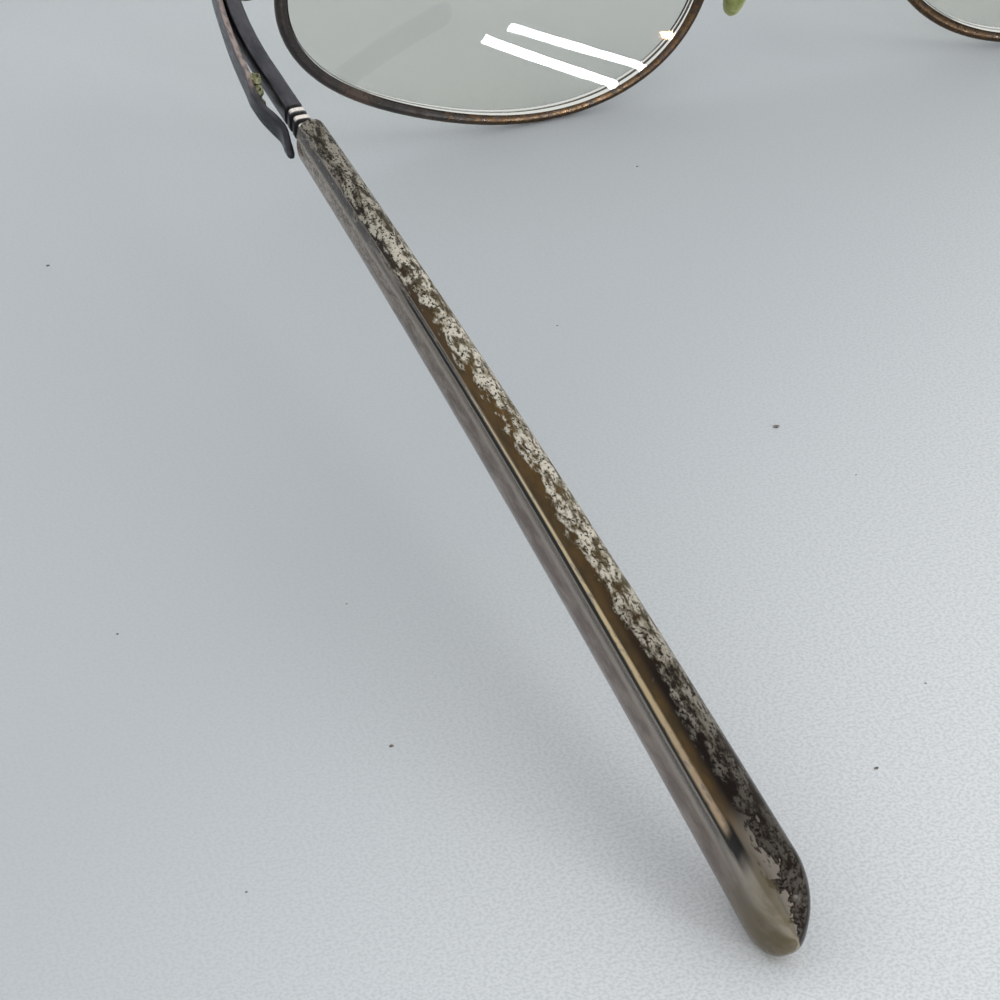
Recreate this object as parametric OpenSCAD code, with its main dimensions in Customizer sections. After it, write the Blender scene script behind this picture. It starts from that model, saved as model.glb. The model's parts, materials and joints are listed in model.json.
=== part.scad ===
// Full-rim metal eyeglasses, lying open on their rims and on the ends of their temples. The outer
// plate of the left temple has come away from its wire, with the failed solder still on it.
// Millimetres, +Z up, front towards -Y, wearer's left towards +X, origin under the middle.

/* [Front] */
// Distance between the centres of the two eyes
eye_span = 70; // [68:0.5:74]
// Width of one eye, inside its rim
eye_w = 52; // [49:0.5:54]
// Height of one eye, inside its rim
eye_h = 36.6; // [33:0.2:40]
// Angle by which each eye wraps back towards its temple
wrap = 6.1; // [4:0.1:8]
// Angle by which the bottoms of the eyes lean towards the face
lean = 6.2; // [4:0.1:8]
// Radius of the sphere that the front is bent to
base_r = 106; // [88:1:130]

/* [Rim and lens] */
// Thickness of the rim wire, across the eye
rim_t = 1.3; // [1.2:0.1:1.6]
// Width of the rim wire, front to back
rim_w = 1.6; // [1.5:0.1:2.2]
// Depth of the groove that holds the lens
groove_d = 0.45; // [0.35:0.05:0.6]
// Width of that groove
groove_w = 0.8; // [0.7:0.05:0.9]
// Thickness of the lens
lens_t = 1.9; // [1.6:0.1:2.6]
// Angle round the eye at which the rim is split
split_a = 14; // [12:0.2:18]

/* [Bridge and pads] */
// Angle round the eye at which the bridge meets the rim
bridge_a = 150; // [142:1:156]
// Height of the bridge bar
bridge_h = 2.4; // [1.8:0.1:3]
// Thickness of the bridge bar, front to back
bridge_t = 1.5; // [1.2:0.1:2]
// Rise of the bridge between its ends
bridge_rise = 2.6; // [1:0.2:4]
// Length of a nose pad
pad_l = 14; // [11:0.5:15]
// Width of a nose pad
pad_w = 7.4; // [6:0.2:8.4]
// Thickness of a nose pad
pad_t = 2.8; // [2.2:0.1:3.4]
// Radius of a pad screw
pad_screw_r = 0.5; // [0.4:0.05:0.6]

/* [Hinges] */
// Distance of a hinge pin behind the split of its rim
hinge_back = 3.2; // [2.9:0.05:4]
// Outer radius of a hinge barrel
barrel_r = 1.2; // [1.1:0.05:1.4]
// Height of the whole hinge
barrel_h = 4.8; // [4.2:0.2:6]
// Radius of the hinge screw
hinge_screw_r = 0.7; // [0.5:0.05:0.75]
// Radius of the screws that close the rims
rim_screw_r = 0.6; // [0.5:0.05:0.7]
// Thickness of an end piece
end_t = 1.7; // [1.5:0.05:1.75]
// How far an end piece reaches out from the split of its rim to its hinge
end_reach = 3.35; // [3.2:0.05:5]

/* [Temples] */
// Length of a temple from its hinge pin to the end of its sleeve
temple_len = 133.2; // [120:0.2:150]
// Distance between the ends of the temples, centre to centre
temple_tip_gap = 127.6; // [116:0.2:136]
// Inward bend of the temple wire at its hinge
elbow_in = 2.3; // [1.6:0.1:2.6]
// Distance over which that bend runs
elbow_len = 19; // [14:1:24]
// Arch of a temple between its ends
temple_arch = 1.25; // [0:0.05:3]
// Inward bow of a temple between its ends
temple_bow = 0.5; // [0:0.1:1.5]
// Width of the flat wire in front of the sleeve
bar_w = 1.8; // [1.6:0.1:2]
// Height of the flat wire in front of the sleeve
bar_h = 2.4; // [2:0.1:3.6]
// Width of the core inside the sleeve
core_w = 1.2; // [0.9:0.1:1.5]
// Height of the core inside the sleeve
core_h = 1.6; // [1.2:0.1:2]
// Distance from the hinge pin to the mouth of the sleeve
mouth_at = 31.5; // [28:0.1:34]
// Length that the core stops short of the end of the sleeve
core_short = 9.5; // [7:0.5:20]
// Number of rings turned in the wire before the sleeve
ring_count = 3; // [1:1:4]
// Distance from one ring to the next
ring_pitch = 1.35; // [1.2:0.05:1.6]

/* [Sleeves] */
// Width of a sleeve at its mouth
mouth_w = 2.95; // [2.7:0.05:3.4]
// Height of a sleeve at its mouth
mouth_h = 4.75; // [4.4:0.05:5.6]
// Width of a sleeve at its end
tip_w = 4.25; // [3.6:0.05:5]
// Height of a sleeve at its end
tip_h = 10; // [7:0.1:11]
// Length of the rounded end of a sleeve
tip_round = 4.5; // [3:0.5:7]

/* [Temple plates] */
// Thickness of the plate outside the wire
plate_t = 0.7; // [0.5:0.05:0.9]
// Distance from the hinge pin to the pointed end of the plate
plate_end = 31.8; // [31:0.1:36]
// How far the loose plate has sprung from its wire
plate_sprung = 1.3; // [0:0.1:2]
// Radius of a bead of failed solder
bead_r = 0.55; // [0.4:0.05:0.65]

/* [Hidden] */

LEFT = 1;
RIGHT = -1;
enamel = "#3b3230";
gunmetal = "#4a4644";
steel = "#8f8f8c";
$fn = 40;

// clearances: brazed seats, screws in their threads, the running hinge, the lens in its groove
seat = 0.04;
thread_fit = 0.02;
run_fit = 0.05;
lens_fit = 0.09;

// outline of an eye: percentages by which its radius swells towards its corners
lobe = 6.8;
slant = 3.1;
skew = 0.7;
brow_out = 29;
brow_up = 3.3;
stations = 72;
front_y = 3.6;
split_gap = 0.9;

function lobes(a) = 1 + (lobe * cos(3 * a) - slant * sin(2 * a) + skew * sin(3 * a)
    + pow(max(0, sin(a)), 2) * (brow_out * cos(a) + brow_up)) / 100;
function eye_ring(a) = lobes(a) * [(eye_w + rim_t) / 2 * cos(a), (eye_h + rim_t) / 2 * sin(a)];
function unit(v) = v / norm(v);
// a point of the outline, moved outwards across the rim
function outline(a, out) = let(t = unit(eye_ring(a + 0.5) - eye_ring(a - 0.5)))
    eye_ring(a) + out * [t.y, -t.x];
function sag(p) = base_r - sqrt(base_r * base_r - p.x * p.x - p.y * p.y);
function in_eye(a, out, back) = let(p = outline(a, out)) [p.x, sag(p) + back, p.y];
function leaned_z(p) = p.y * sin(lean) + p.z * cos(lean);

// the rims stand on the surface
eye_z = -min([for (a = [200 : 2 : 340]) leaned_z(in_eye(a, rim_t / 2, 0))]);

function placed(p) = let(y = p.y * cos(lean) - p.z * sin(lean))
    [eye_span / 2 + p.x * cos(wrap) - y * sin(wrap), front_y + p.x * sin(wrap) + y * cos(wrap),
     eye_z + leaned_z(p)];

// closed surface through rings of points, each with as many points
module skin(rings) {
    n = len(rings[0]);
    last = (len(rings) - 1) * n;
    sides = [
        for (r = [0 : len(rings) - 2], i = [0 : n - 1])
            let(a = r * n + i, b = r * n + (i + 1) % n)
                each [[a, b, b + n], [a, b + n, a + n]]
    ];
    caps = [[for (i = [n - 1 : -1 : 0]) i], [for (i = [0 : n - 1]) last + i]];
    polyhedron([for (r = rings) each r], concat(sides, caps), convexity = 8);
}

// section with rounded corners: power 2 is an ellipse, a higher power is squarer
function oval(w, h, power, n = 16) = [
    for (i = [0 : n - 1]) let(c = cos(360 * i / n), s = sin(360 * i / n))
        [sign(c) * pow(abs(c), 2 / power) * w / 2, sign(s) * pow(abs(s), 2 / power) * h / 2]
];

// round wire of a given radius through three points, the middle one off the curve
function bend(p, q, r, t) = (1 - t) * (1 - t) * p + 2 * t * (1 - t) * q + t * t * r;
module bent_wire(p, q, r, radius, steps = 10, sides = 8) {
    skin([
        for (i = [0 : steps])
            let(t = i / steps, c = bend(p, q, r, t),
                along = unit(bend(p, q, r, t + 0.01) - bend(p, q, r, t - 0.01)),
                across = unit(cross(along, [0, 0, 1])), up = cross(across, along))
                [for (k = [0 : sides - 1])
                    c + radius * (cos(360 * k / sides) * across + sin(360 * k / sides) * up)]
    ]);
}

module on_side(side) {
    if (side == LEFT) children();
    else mirror([1, 0, 0]) children();
}
module both_sides() {
    for (side = [LEFT, RIGHT]) on_side(side) children();
}

// ---- rims and lenses ----

rim_section = concat(
    [for (b = [-90 : 30 : 90]) [rim_t / 2 * cos(b), rim_w / 2 * sin(b)]],
    [[-rim_t / 2, rim_w * 0.4], [-rim_t / 2, groove_w / 2], [groove_d - rim_t / 2, groove_w / 2],
     [groove_d - rim_t / 2, -groove_w / 2], [-rim_t / 2, -groove_w / 2], [-rim_t / 2, -rim_w * 0.4]]
);

module rim() {
    steps = stations;
    from = split_a + split_gap / 2;
    turn = 360 - split_gap;
    color(enamel) skin([
        for (i = [0 : steps])
            [for (p = rim_section) placed(in_eye(from + turn * i / steps, p.x, p.y))]
    ]);
}

module at_eye() {
    translate([eye_span / 2, front_y, eye_z]) rotate([0, 0, wrap]) rotate([lean, 0, 0]) children();
}

// part of the spherical shell that lies inside the outline, moved outwards by out
module shell(out, thick) {
    from = split_a + split_gap / 2;
    turn = 360 - split_gap;
    intersection() {
        translate([0, base_r, 0]) difference() {
            sphere(r = base_r + thick / 2);
            sphere(r = base_r - thick / 2);
        }
        rotate([90, 0, 0]) translate([0, 0, -eye_w / 3]) linear_extrude(eye_w / 2)
            polygon([for (i = [0 : stations - 1]) outline(from + turn * i / stations, out)]);
    }
}

module lens() {
    color([0.78, 0.78, 0.74, 0.4]) at_eye() {
        shell(-rim_t / 2 - lens_fit, lens_t);
        shell(groove_d - rim_t / 2 - lens_fit, groove_w - 2 * lens_fit);
    }
}

// ---- bridge ----

bridge_end = placed(in_eye(bridge_a, rim_t / 2 + 4 * seat, 0));
bridge_forward = 1.8;
bridge_mid_y = bridge_end.y - bridge_forward;

module bridge() {
    steps = 14;
    section = oval(bridge_t, bridge_h, 3, 12);
    color(enamel) skin([
        for (i = [0 : steps])
            let(t = 2 * i / steps - 1, k = 1 - t * t,
                slope = atan2(-2 * t * bridge_rise, bridge_end.x),
                yaw = atan2(2 * t * bridge_forward, bridge_end.x))
                [for (p = section)
                    [bridge_end.x * t - p.x * sin(yaw) - p.y * sin(slope),
                     bridge_end.y - bridge_forward * k + p.x * cos(yaw),
                     bridge_end.z + bridge_rise * k + p.y * cos(slope)]]
    ]);
}

// ---- nose pads ----

pad_centre = placed(in_eye(190, 0, 0)) + [0.1, 6.4, 1.5];
pad_splay = 27;
pad_flare = 12;
pad_root_a = 196;
arm_loop = 2.6;
pivot_out = 1.9;
box_from = 0.8;
box_to = 3.2;
box_h = 2.6;
box_wall = 0.5;
tab_t = 0.8;
tab_base_t = 0.4;
box_w = tab_t + 2 * (box_wall + run_fit);

// local x points away from the nose, local z up along the pad, local y to the back
module at_pad() {
    translate(pad_centre) rotate([0, 0, -pad_splay]) rotate([0, -pad_flare, 0]) children();
}
function pad_point(p) = let(x = p.x * cos(pad_flare) - p.z * sin(pad_flare))
    pad_centre + [x * cos(pad_splay) + p.y * sin(pad_splay), p.y * cos(pad_splay) - x * sin(pad_splay),
                  p.x * sin(pad_flare) + p.z * cos(pad_flare)];

// along Y at the pivot of the pad
module pad_pin(radius, length) {
    translate([pivot_out, length / 2, 0]) rotate([90, 0, 0]) cylinder(r = radius, h = length);
}

module nose_pad() {
    // share of the thickness, share of the width: a rounded back edge and a domed face
    profile = [[0, 0.8], [0.16, 0.95], [0.42, 1], [0.68, 0.93], [0.88, 0.72], [1, 0.38]];
    color("#8f9446") at_pad() skin([
        for (s = profile)
            [for (p = oval(pad_w * s[1], pad_l * s[1], 2.3))
                [-pad_t * s[0], p.x * (1 - 0.16 * p.y / pad_l), p.y]]
    ]);
}

module pad_tab() {
    color(steel) at_pad() difference() {
        union() {
            translate([seat, -1.6, -2]) cube([tab_base_t, 3.2, 4]);
            translate([seat, -tab_t / 2, -0.75]) cube([pivot_out - seat, tab_t, 1.5]);
            pad_pin(0.75, tab_t);
        }
        pad_pin(pad_screw_r + run_fit, tab_t + 1);
    }
}

module pad_box() {
    color(enamel) at_pad() difference() {
        translate([box_from, -box_w / 2, -box_h / 2]) cube([box_to - box_from, box_w, box_h]);
        translate([box_from - 1, -box_w / 2 + box_wall, -box_h])
            cube([box_to - box_from - box_wall + 1, box_w - 2 * box_wall, 2 * box_h]);
        pad_pin(pad_screw_r + thread_fit, box_w + 1);
    }
}

module pad_arm() {
    radius = 0.5;
    root = placed(in_eye(pad_root_a, 0, rim_w / 2 + radius + seat));
    color(enamel) bent_wire(root, pad_point([box_to + arm_loop, 0, 0]),
        pad_point([box_to + seat, 0, 0]), radius);
}

module pad_screws() {
    head_h = 0.4;
    color(steel) both_sides() at_pad() {
        pad_pin(pad_screw_r, box_w);
        translate([pivot_out, box_w / 2 + head_h, 0]) rotate([90, 0, 0])
            cylinder(r = pad_screw_r * 1.6, h = head_h);
    }
}

// ---- temples: the line that each follows ----

split_at = placed(in_eye(split_a, rim_t / 2, 0));
hinge_y = split_at.y + hinge_back;
hinge_z = split_at.z;
barrel_clear = 0.2;
pin_x = split_at.x + end_reach + barrel_clear + barrel_r;
bar_x = pin_x + barrel_r + bar_w / 2;
bar_from = hinge_y + 0.25;
elbow_y = hinge_y + elbow_len;
rest_s = 0.963;
function along(y) = (y - hinge_y) / temple_len;
function elbow(y) = elbow_in * pow(max(0, (elbow_y - y) / elbow_len), 2);
function bow(s) = 4 * temple_bow * s * (1 - s);
// where the line would start without its elbow, so that the wire starts beside the hinge
front_x = (bar_x + elbow(bar_from) + bow(along(bar_from)) - temple_tip_gap / 2 * along(bar_from))
    / (1 - along(bar_from));
function sleeve_w(y) = mouth_w + (tip_w - mouth_w) * (y - mouth_y) / (tip_y - mouth_y);
function sleeve_h(y) = mouth_h + (tip_h - mouth_h) * (y - mouth_y) / (tip_y - mouth_y);
mouth_y = hinge_y + mouth_at;
tip_y = hinge_y + temple_len;
rest_y = hinge_y + rest_s * temple_len;
// height of the end of the line at which the sleeve just rests on the surface
tip_z = hinge_z + (sleeve_h(rest_y) / 2 - hinge_z
    - 4 * temple_arch * rest_s * (1 - rest_s)) / rest_s;

function line_x(y) = let(s = along(y))
    front_x + (temple_tip_gap / 2 - front_x) * s - bow(s) - elbow(y);
function line_z(y) = let(s = along(y))
    hinge_z + (tip_z - hinge_z) * s + 4 * temple_arch * s * (1 - s);
function line(y) = [line_x(y), y, line_z(y)];

// ring of points square to the line: section points are [outwards, upwards]
function ring_at(y, section) =
    let(d = line(y + 0.5) - line(y - 0.5), out = unit([d.y, -d.x, 0]), up = unit([0, -d.z, d.y]))
    [for (p = section) line(y) + p.x * out + p.y * up];

// ---- temple wire ----

collar_to = mouth_y - 0.6;
collar_from = collar_to - ring_count * ring_pitch;
neck_end = mouth_y + 4;
core_end = tip_y - core_short;
point_l = 3;

// [place, width, height] of the wire's sections, from hinge to point
wire_stops = concat(
    [for (i = [1 : 8]) [bar_from + i * (collar_from - bar_from) / 8, bar_w, bar_h]],
    [for (i = [0 : ring_count - 1]) let(y = collar_from + i * ring_pitch)
        each [[y + 0.25, 0.66 * bar_w, 0.84 * bar_h], [y + 0.55, 0.66 * bar_w, 0.84 * bar_h],
              [y + 0.75, bar_w, bar_h], [y + ring_pitch, bar_w, bar_h]]],
    [[collar_to + 0.3, 0.75 * bar_w, 0.75 * bar_h], [neck_end, core_w, core_h]],
    [for (i = [1 : 6]) let(y = neck_end + i * (core_end - point_l - neck_end) / 6)
        [y, core_w, core_h]],
    [[core_end - 0.3 * point_l, 0.6 * core_w, 0.6 * core_h], [core_end, 0.15, 0.2]]
);

module temple_wire() {
    // the end that meets the end piece is cut upright
    butt = [for (p = oval(bar_w, bar_h, 4)) line(bar_from) + [p.x, 0, p.y]];
    color(gunmetal) skin(concat([butt], [for (s = wire_stops) ring_at(s[0], oval(s[1], s[2], 4))]));
}

// ---- sleeve: the outside from the end to the mouth, then the channel for the core ----

channel_fit = 0.06;
function end_swell(y) = y < tip_y - tip_round ? 1
    : sqrt(max(0, 1 - pow((y - tip_y + tip_round) / tip_round, 2)));
function sleeve_ring(y, k) = ring_at(y, oval(sleeve_w(y) * k, sleeve_h(y) * k, 2.6, 20));
round_steps = [0.99, 0.94, 0.82, 0.62, 0.35, 0];
function channel_ring(y, w, h) =
    ring_at(y, oval(w + 2 * channel_fit, h + 2 * channel_fit, 4, 20));

module temple_sleeve() {
    outside = concat(
        [for (k = round_steps) let(y = tip_y - tip_round * (1 - k)) sleeve_ring(y, end_swell(y))],
        [for (i = [1 : 14]) sleeve_ring(tip_y - tip_round - i * (temple_len - mouth_at
            - tip_round - 0.5) / 14, 1)],
        [sleeve_ring(mouth_y, 0.9)]
    );
    channel = concat(
        [channel_ring(mouth_y, 0.75 * bar_w, 0.75 * bar_h), channel_ring(neck_end, core_w, core_h)],
        [for (i = [1 : 6]) channel_ring(neck_end + i * (core_end + 0.1 - neck_end) / 6,
            core_w, core_h)]
    );
    color("#6b6458") mirrored_skin(concat(outside, channel));
}
module mirrored_skin(rings) {
    skin([for (r = rings) [for (i = [len(r) - 1 : -1 : 0]) r[i]]]);
}

// ---- temple plate, outside the wire ----

against_bar = (bar_w + plate_t) / 2 + 2 * seat;
against_sleeve = (mouth_w + plate_t) / 2 + 0.2;
plate_from = hinge_y + 2.5;

// share of the plate's length, how far it has sprung, how far it drops, its height
plate_stops = [
    [0, 0, 0, 3.1], [0.1, 0.02, 0, 2.9], [0.2, 0.1, 0, 2.6], [0.37, 0.4, 0, 2.6],
    [0.6, 0.95, 0.05, 2.6], [0.7, 1, 0.15, 2.1], [0.77, 0.85, 0.7, 1.7], [0.84, 0.55, 0.65, 2.4],
    [0.92, 0.2, 0.7, 2.1], [0.97, 0.05, 1.1, 1.2], [1, 0, 1.5, 0.3]
];
function plate_off(y, s, sprung) = max(against_bar + s[1] * sprung,
    y > mouth_y - 3 ? against_sleeve : 0);

module temple_plate(sprung) {
    length = hinge_y + plate_end - plate_from;
    color(gunmetal) skin([
        for (s = plate_stops)
            let(y = plate_from + s[0] * length, off = plate_off(y, s, sprung))
                ring_at(y, [for (p = oval(plate_t, s[3], 5, 12)) [p.x + off, p.y - s[2]]])
    ]);
}

// beads of solder that stayed on the loose plate, [behind the hinge, above the line]
beads = [[21.4, 0.9], [22.2, 0.05], [22.9, -0.85]];
bead_clear = 0.14;
module solder() {
    off = against_bar + plate_sprung - plate_t / 2 - bead_clear;
    color("#8b8a5e") for (b = beads)
        translate(line(hinge_y + b[0]) + [off, 0, b[1]]) rotate([0, -90, 0]) rotate_extrude()
            polygon(concat([[0, 0]], [for (a = [-30 : 10 : 90]) bead_r * [cos(a), 0.5 + sin(a)]]));
}

// ---- hinges and end pieces ----

knuckle_gap = 0.06;
knuckle_h = (barrel_h - 2 * knuckle_gap) / 3;
hinge_bottom = hinge_z - barrel_h / 2;
stop_gap = 0.1;
leaf_len = 4;
leaf_lean = line_x(hinge_y + leaf_len) - bar_x;
screw_head_h = 0.5;

module at_pin(z) {
    translate([pin_x, hinge_y, z]) children();
}

module hinge_front() {
    leaf_y = hinge_y - barrel_r - 1.1;
    color(steel) difference() {
        union() {
            at_pin(hinge_bottom) cylinder(r = barrel_r, h = barrel_h);
            translate([pin_x - barrel_r, leaf_y, hinge_bottom])
                cube([2 * barrel_r - seat, hinge_y - leaf_y, barrel_h]);
        }
        at_pin(hinge_bottom + knuckle_h) cylinder(r = barrel_r + 0.15, h = knuckle_h + 2 * knuckle_gap);
        at_pin(hinge_bottom - 1) cylinder(r = hinge_screw_r + thread_fit, h = barrel_h + 2);
        // the middle opening runs out to the back, where the temple's knuckle swings
        at_pin(hinge_bottom + knuckle_h) translate([-2 * barrel_r, 0, 0])
            cube([4 * barrel_r, 2 * barrel_r, knuckle_h + 2 * knuckle_gap]);
    }
}

module hinge_temple() {
    bottom = hinge_bottom + knuckle_h + knuckle_gap;
    color(steel) difference() {
        union() {
            at_pin(bottom) cylinder(r = barrel_r, h = knuckle_h);
            at_pin(bottom) linear_extrude(knuckle_h) polygon([
                [0, 0], [barrel_r - seat, 0], [barrel_r - seat, bar_from - hinge_y],
                [barrel_r - seat + leaf_lean, leaf_len], [barrel_r - 1 + leaf_lean, leaf_len]
            ]);
        }
        at_pin(bottom - 1) cylinder(r = hinge_screw_r + run_fit, h = knuckle_h + 2);
    }
}

module hinge_screws() {
    top = hinge_bottom + barrel_h;
    color(steel) both_sides() difference() {
        union() {
            at_pin(hinge_bottom) cylinder(r = hinge_screw_r, h = barrel_h);
            at_pin(top + seat / 2) cylinder(r = 1.5 * hinge_screw_r, h = screw_head_h);
            at_pin(top - 1) cylinder(r = hinge_screw_r, h = 1 + screw_head_h);
        }
        at_pin(top + screw_head_h / 2) translate([-3, -0.15, 0]) cube([6, 0.3, 2]);
    }
}

end_h = 4.2;
end_bottom = split_at.z - end_h / 2;
block_x = split_at.x - 1.5;
block_w = split_at.x + end_reach - block_x;
outer_x = bar_x + bar_w / 2;
end_front_y = split_at.y - 1.1;
end_back_y = end_front_y + end_t;
block_screw = [block_x + block_w - 1.7, split_at.y, 0];

// plan of the end piece: out from the rim, then back to the temple
module end_plan() {
    corner = 1.1;
    polygon([
        [block_x, end_front_y], [outer_x - corner - 0.5, end_front_y],
        [outer_x - 0.35 * corner, end_front_y + 0.3 * corner], [outer_x, end_front_y + 1.2 * corner],
        [outer_x, bar_from - stop_gap], [outer_x - end_t, bar_from - stop_gap],
        [outer_x - end_t, end_back_y + 0.4], [block_x + block_w, end_back_y + 0.4],
        [block_x + block_w, split_at.y + 1.2], [block_x, split_at.y + 1.2]
    ]);
}

// everything inside the outer face of the rim, near its split
module rim_side() {
    at_eye() rotate([90, 0, 0]) translate([0, 0, -eye_w / 4]) linear_extrude(eye_w / 2)
        polygon(concat([[0, 0]],
            [for (a = [split_a - 20 : 2 : split_a + 20]) outline(a, rim_t / 2 + seat)]));
}

module rim_screw_hole(fit) {
    translate([block_screw.x, block_screw.y, end_bottom - 1])
        cylinder(r = rim_screw_r + fit, h = end_h + 0.4);
}

module end_piece() {
    color(enamel) difference() {
        translate([0, 0, end_bottom]) linear_extrude(end_h) end_plan();
        translate([block_x - 1, end_front_y - 1, end_bottom - 1])
            cube([block_w + 1.1, 6, end_h / 2 + 1 + split_gap / 4]);
        rim_side();
        rim_screw_hole(thread_fit);
        // seat of the hinge's front leaf
        translate([pin_x - barrel_r - seat, hinge_y - barrel_r - 1.1 - seat, end_bottom - 1])
            cube([2 * barrel_r + 2 * seat, 4, end_h + 2]);
    }
}

module lock_block() {
    color(enamel) difference() {
        translate([block_x, end_front_y, end_bottom])
            cube([block_w, split_at.y + 1.2 - end_front_y, end_h / 2 - split_gap / 4]);
        rim_side();
        rim_screw_hole(thread_fit);
        translate([block_screw.x, block_screw.y, end_bottom - 1])
            cylinder(r = 1.55 * rim_screw_r + thread_fit, h = 1.6);
    }
}

module rim_screws() {
    color(steel) both_sides() translate([block_screw.x, block_screw.y, end_bottom]) difference() {
        union() {
            cylinder(r = rim_screw_r, h = end_h - 0.7);
            cylinder(r = 1.55 * rim_screw_r, h = 0.6 - thread_fit);
        }
        translate([-3, -0.12, -1]) cube([6, 0.24, 1.25]);
    }
}

// ---- the whole pair, with the origin under the middle of its box ----

middle_y = (bridge_mid_y - bridge_t / 2 + tip_y) / 2;
module set_down() {
    translate([0, -middle_y, 0]) children();
}

module part(side) {
    set_down() on_side(side) children();
}

part(LEFT) rim();  // rim_left
part(RIGHT) rim();  // rim_right
part(LEFT) lens();  // lens_left
part(RIGHT) lens();  // lens_right
set_down() bridge();
part(LEFT) pad_arm();  // pad_arm_left
part(RIGHT) pad_arm();  // pad_arm_right
part(LEFT) pad_box();  // pad_box_left
part(RIGHT) pad_box();  // pad_box_right
set_down() pad_screws();
part(LEFT) pad_tab();  // pad_tab_left
part(RIGHT) pad_tab();  // pad_tab_right
part(LEFT) nose_pad();  // nose_pad_left
part(RIGHT) nose_pad();  // nose_pad_right
part(LEFT) end_piece();  // end_piece_left
part(RIGHT) end_piece();  // end_piece_right
part(LEFT) lock_block();  // lock_block_left
part(RIGHT) lock_block();  // lock_block_right
set_down() rim_screws();
part(LEFT) hinge_front();  // hinge_front_left
part(RIGHT) hinge_front();  // hinge_front_right
part(LEFT) hinge_temple();  // hinge_temple_left
part(RIGHT) hinge_temple();  // hinge_temple_right
set_down() hinge_screws();
part(LEFT) temple_wire();  // temple_wire_left
part(RIGHT) temple_wire();  // temple_wire_right
part(LEFT) temple_plate(plate_sprung);  // temple_plate_left
part(RIGHT) temple_plate(0);  // temple_plate_right
part(LEFT) solder();  // solder_left
part(LEFT) temple_sleeve();  // temple_sleeve_left
part(RIGHT) temple_sleeve();  // temple_sleeve_right
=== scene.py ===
"""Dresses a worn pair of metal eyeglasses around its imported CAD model.

The pair lies open on its rims and on the ends of its sleeves. The outer plate of the left temple has
sprung away from its wire, with lumps of corroded solder still on it. Sizes in the classes below are
millimetres in the row frame: +Z up, front towards -Y, wearer's left towards +X.
"""

import bisect
import json
import logging
import math
from collections.abc import Callable
from dataclasses import dataclass, field
from enum import Enum

import bmesh
import bpy
from mathutils import Matrix, Vector, noise


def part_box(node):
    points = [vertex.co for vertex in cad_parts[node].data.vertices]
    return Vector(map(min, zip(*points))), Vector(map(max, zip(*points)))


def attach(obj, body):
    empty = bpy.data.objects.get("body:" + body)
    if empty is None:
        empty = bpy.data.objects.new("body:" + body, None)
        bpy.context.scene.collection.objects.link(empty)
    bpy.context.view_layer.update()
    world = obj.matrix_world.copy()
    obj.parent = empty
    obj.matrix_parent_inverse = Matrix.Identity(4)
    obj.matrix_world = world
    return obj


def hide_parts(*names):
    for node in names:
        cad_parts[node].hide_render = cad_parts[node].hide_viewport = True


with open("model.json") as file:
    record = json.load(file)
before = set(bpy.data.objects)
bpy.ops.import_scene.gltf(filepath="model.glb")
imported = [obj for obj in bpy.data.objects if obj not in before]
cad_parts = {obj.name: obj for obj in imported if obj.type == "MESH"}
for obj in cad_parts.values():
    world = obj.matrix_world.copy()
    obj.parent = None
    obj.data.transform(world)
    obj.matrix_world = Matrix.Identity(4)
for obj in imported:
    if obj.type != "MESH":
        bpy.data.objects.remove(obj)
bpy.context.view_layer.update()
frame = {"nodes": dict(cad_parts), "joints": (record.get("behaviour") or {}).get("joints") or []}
MM = 0.001
LOG = logging.getLogger("eyeglasses")
# a cloudy pattern lies mostly between these values
CLOUD_RANGE = (0.3, 0.7)
CLOUD_ROUGHNESS = 0.6

Section = list[tuple[float, float]]
Ring = list[Vector]
Socket = bpy.types.NodeSocket
Colour = tuple[float, float, float, float]
Limits = tuple[float, ...]
Stops = tuple[tuple[float, float], ...]


class Side(Enum):
    """Which half of the pair a piece belongs to; the value turns its X axis."""

    LEFT = 1
    RIGHT = -1

    def of(self, name: str) -> str:
        """The name of a left or right node."""
        return f"{name}_{self.name.lower()}"


class Body(Enum):
    """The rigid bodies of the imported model."""

    FRONT = "front"
    TEMPLE_LEFT = "temple_left"
    TEMPLE_RIGHT = "temple_right"
    PAD_LEFT = "pad_left"
    PAD_RIGHT = "pad_right"

    @staticmethod
    def temple(side: Side) -> "Body":
        """The body of one temple."""
        return Body.TEMPLE_LEFT if side is Side.LEFT else Body.TEMPLE_RIGHT

    @staticmethod
    def pad(side: Side) -> "Body":
        """The body of one nose pad."""
        return Body.PAD_LEFT if side is Side.LEFT else Body.PAD_RIGHT


class Slot(Enum):
    """The record's material slots."""

    ENAMEL = "enamel"
    GUNMETAL = "gunmetal"
    HINGE = "hinge_metal"
    SCREW = "screw_steel"
    LENS = "lens"
    PAD = "pad"
    SLEEVE = "sleeve"
    SOLDER = "solder"


# ---- sums that several pieces share ----


def eased(low: float, high: float, value: float) -> float:
    """Smooth step.

    Args:
        low: value at which the result is 0.
        high: value at which the result is 1; it may be the smaller one.
        value: where to read the step.

    Returns:
        A share from 0 to 1.
    """
    t = min(1.0, max(0.0, (value - low) / (high - low)))
    return t * t * (3 - 2 * t)


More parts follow.
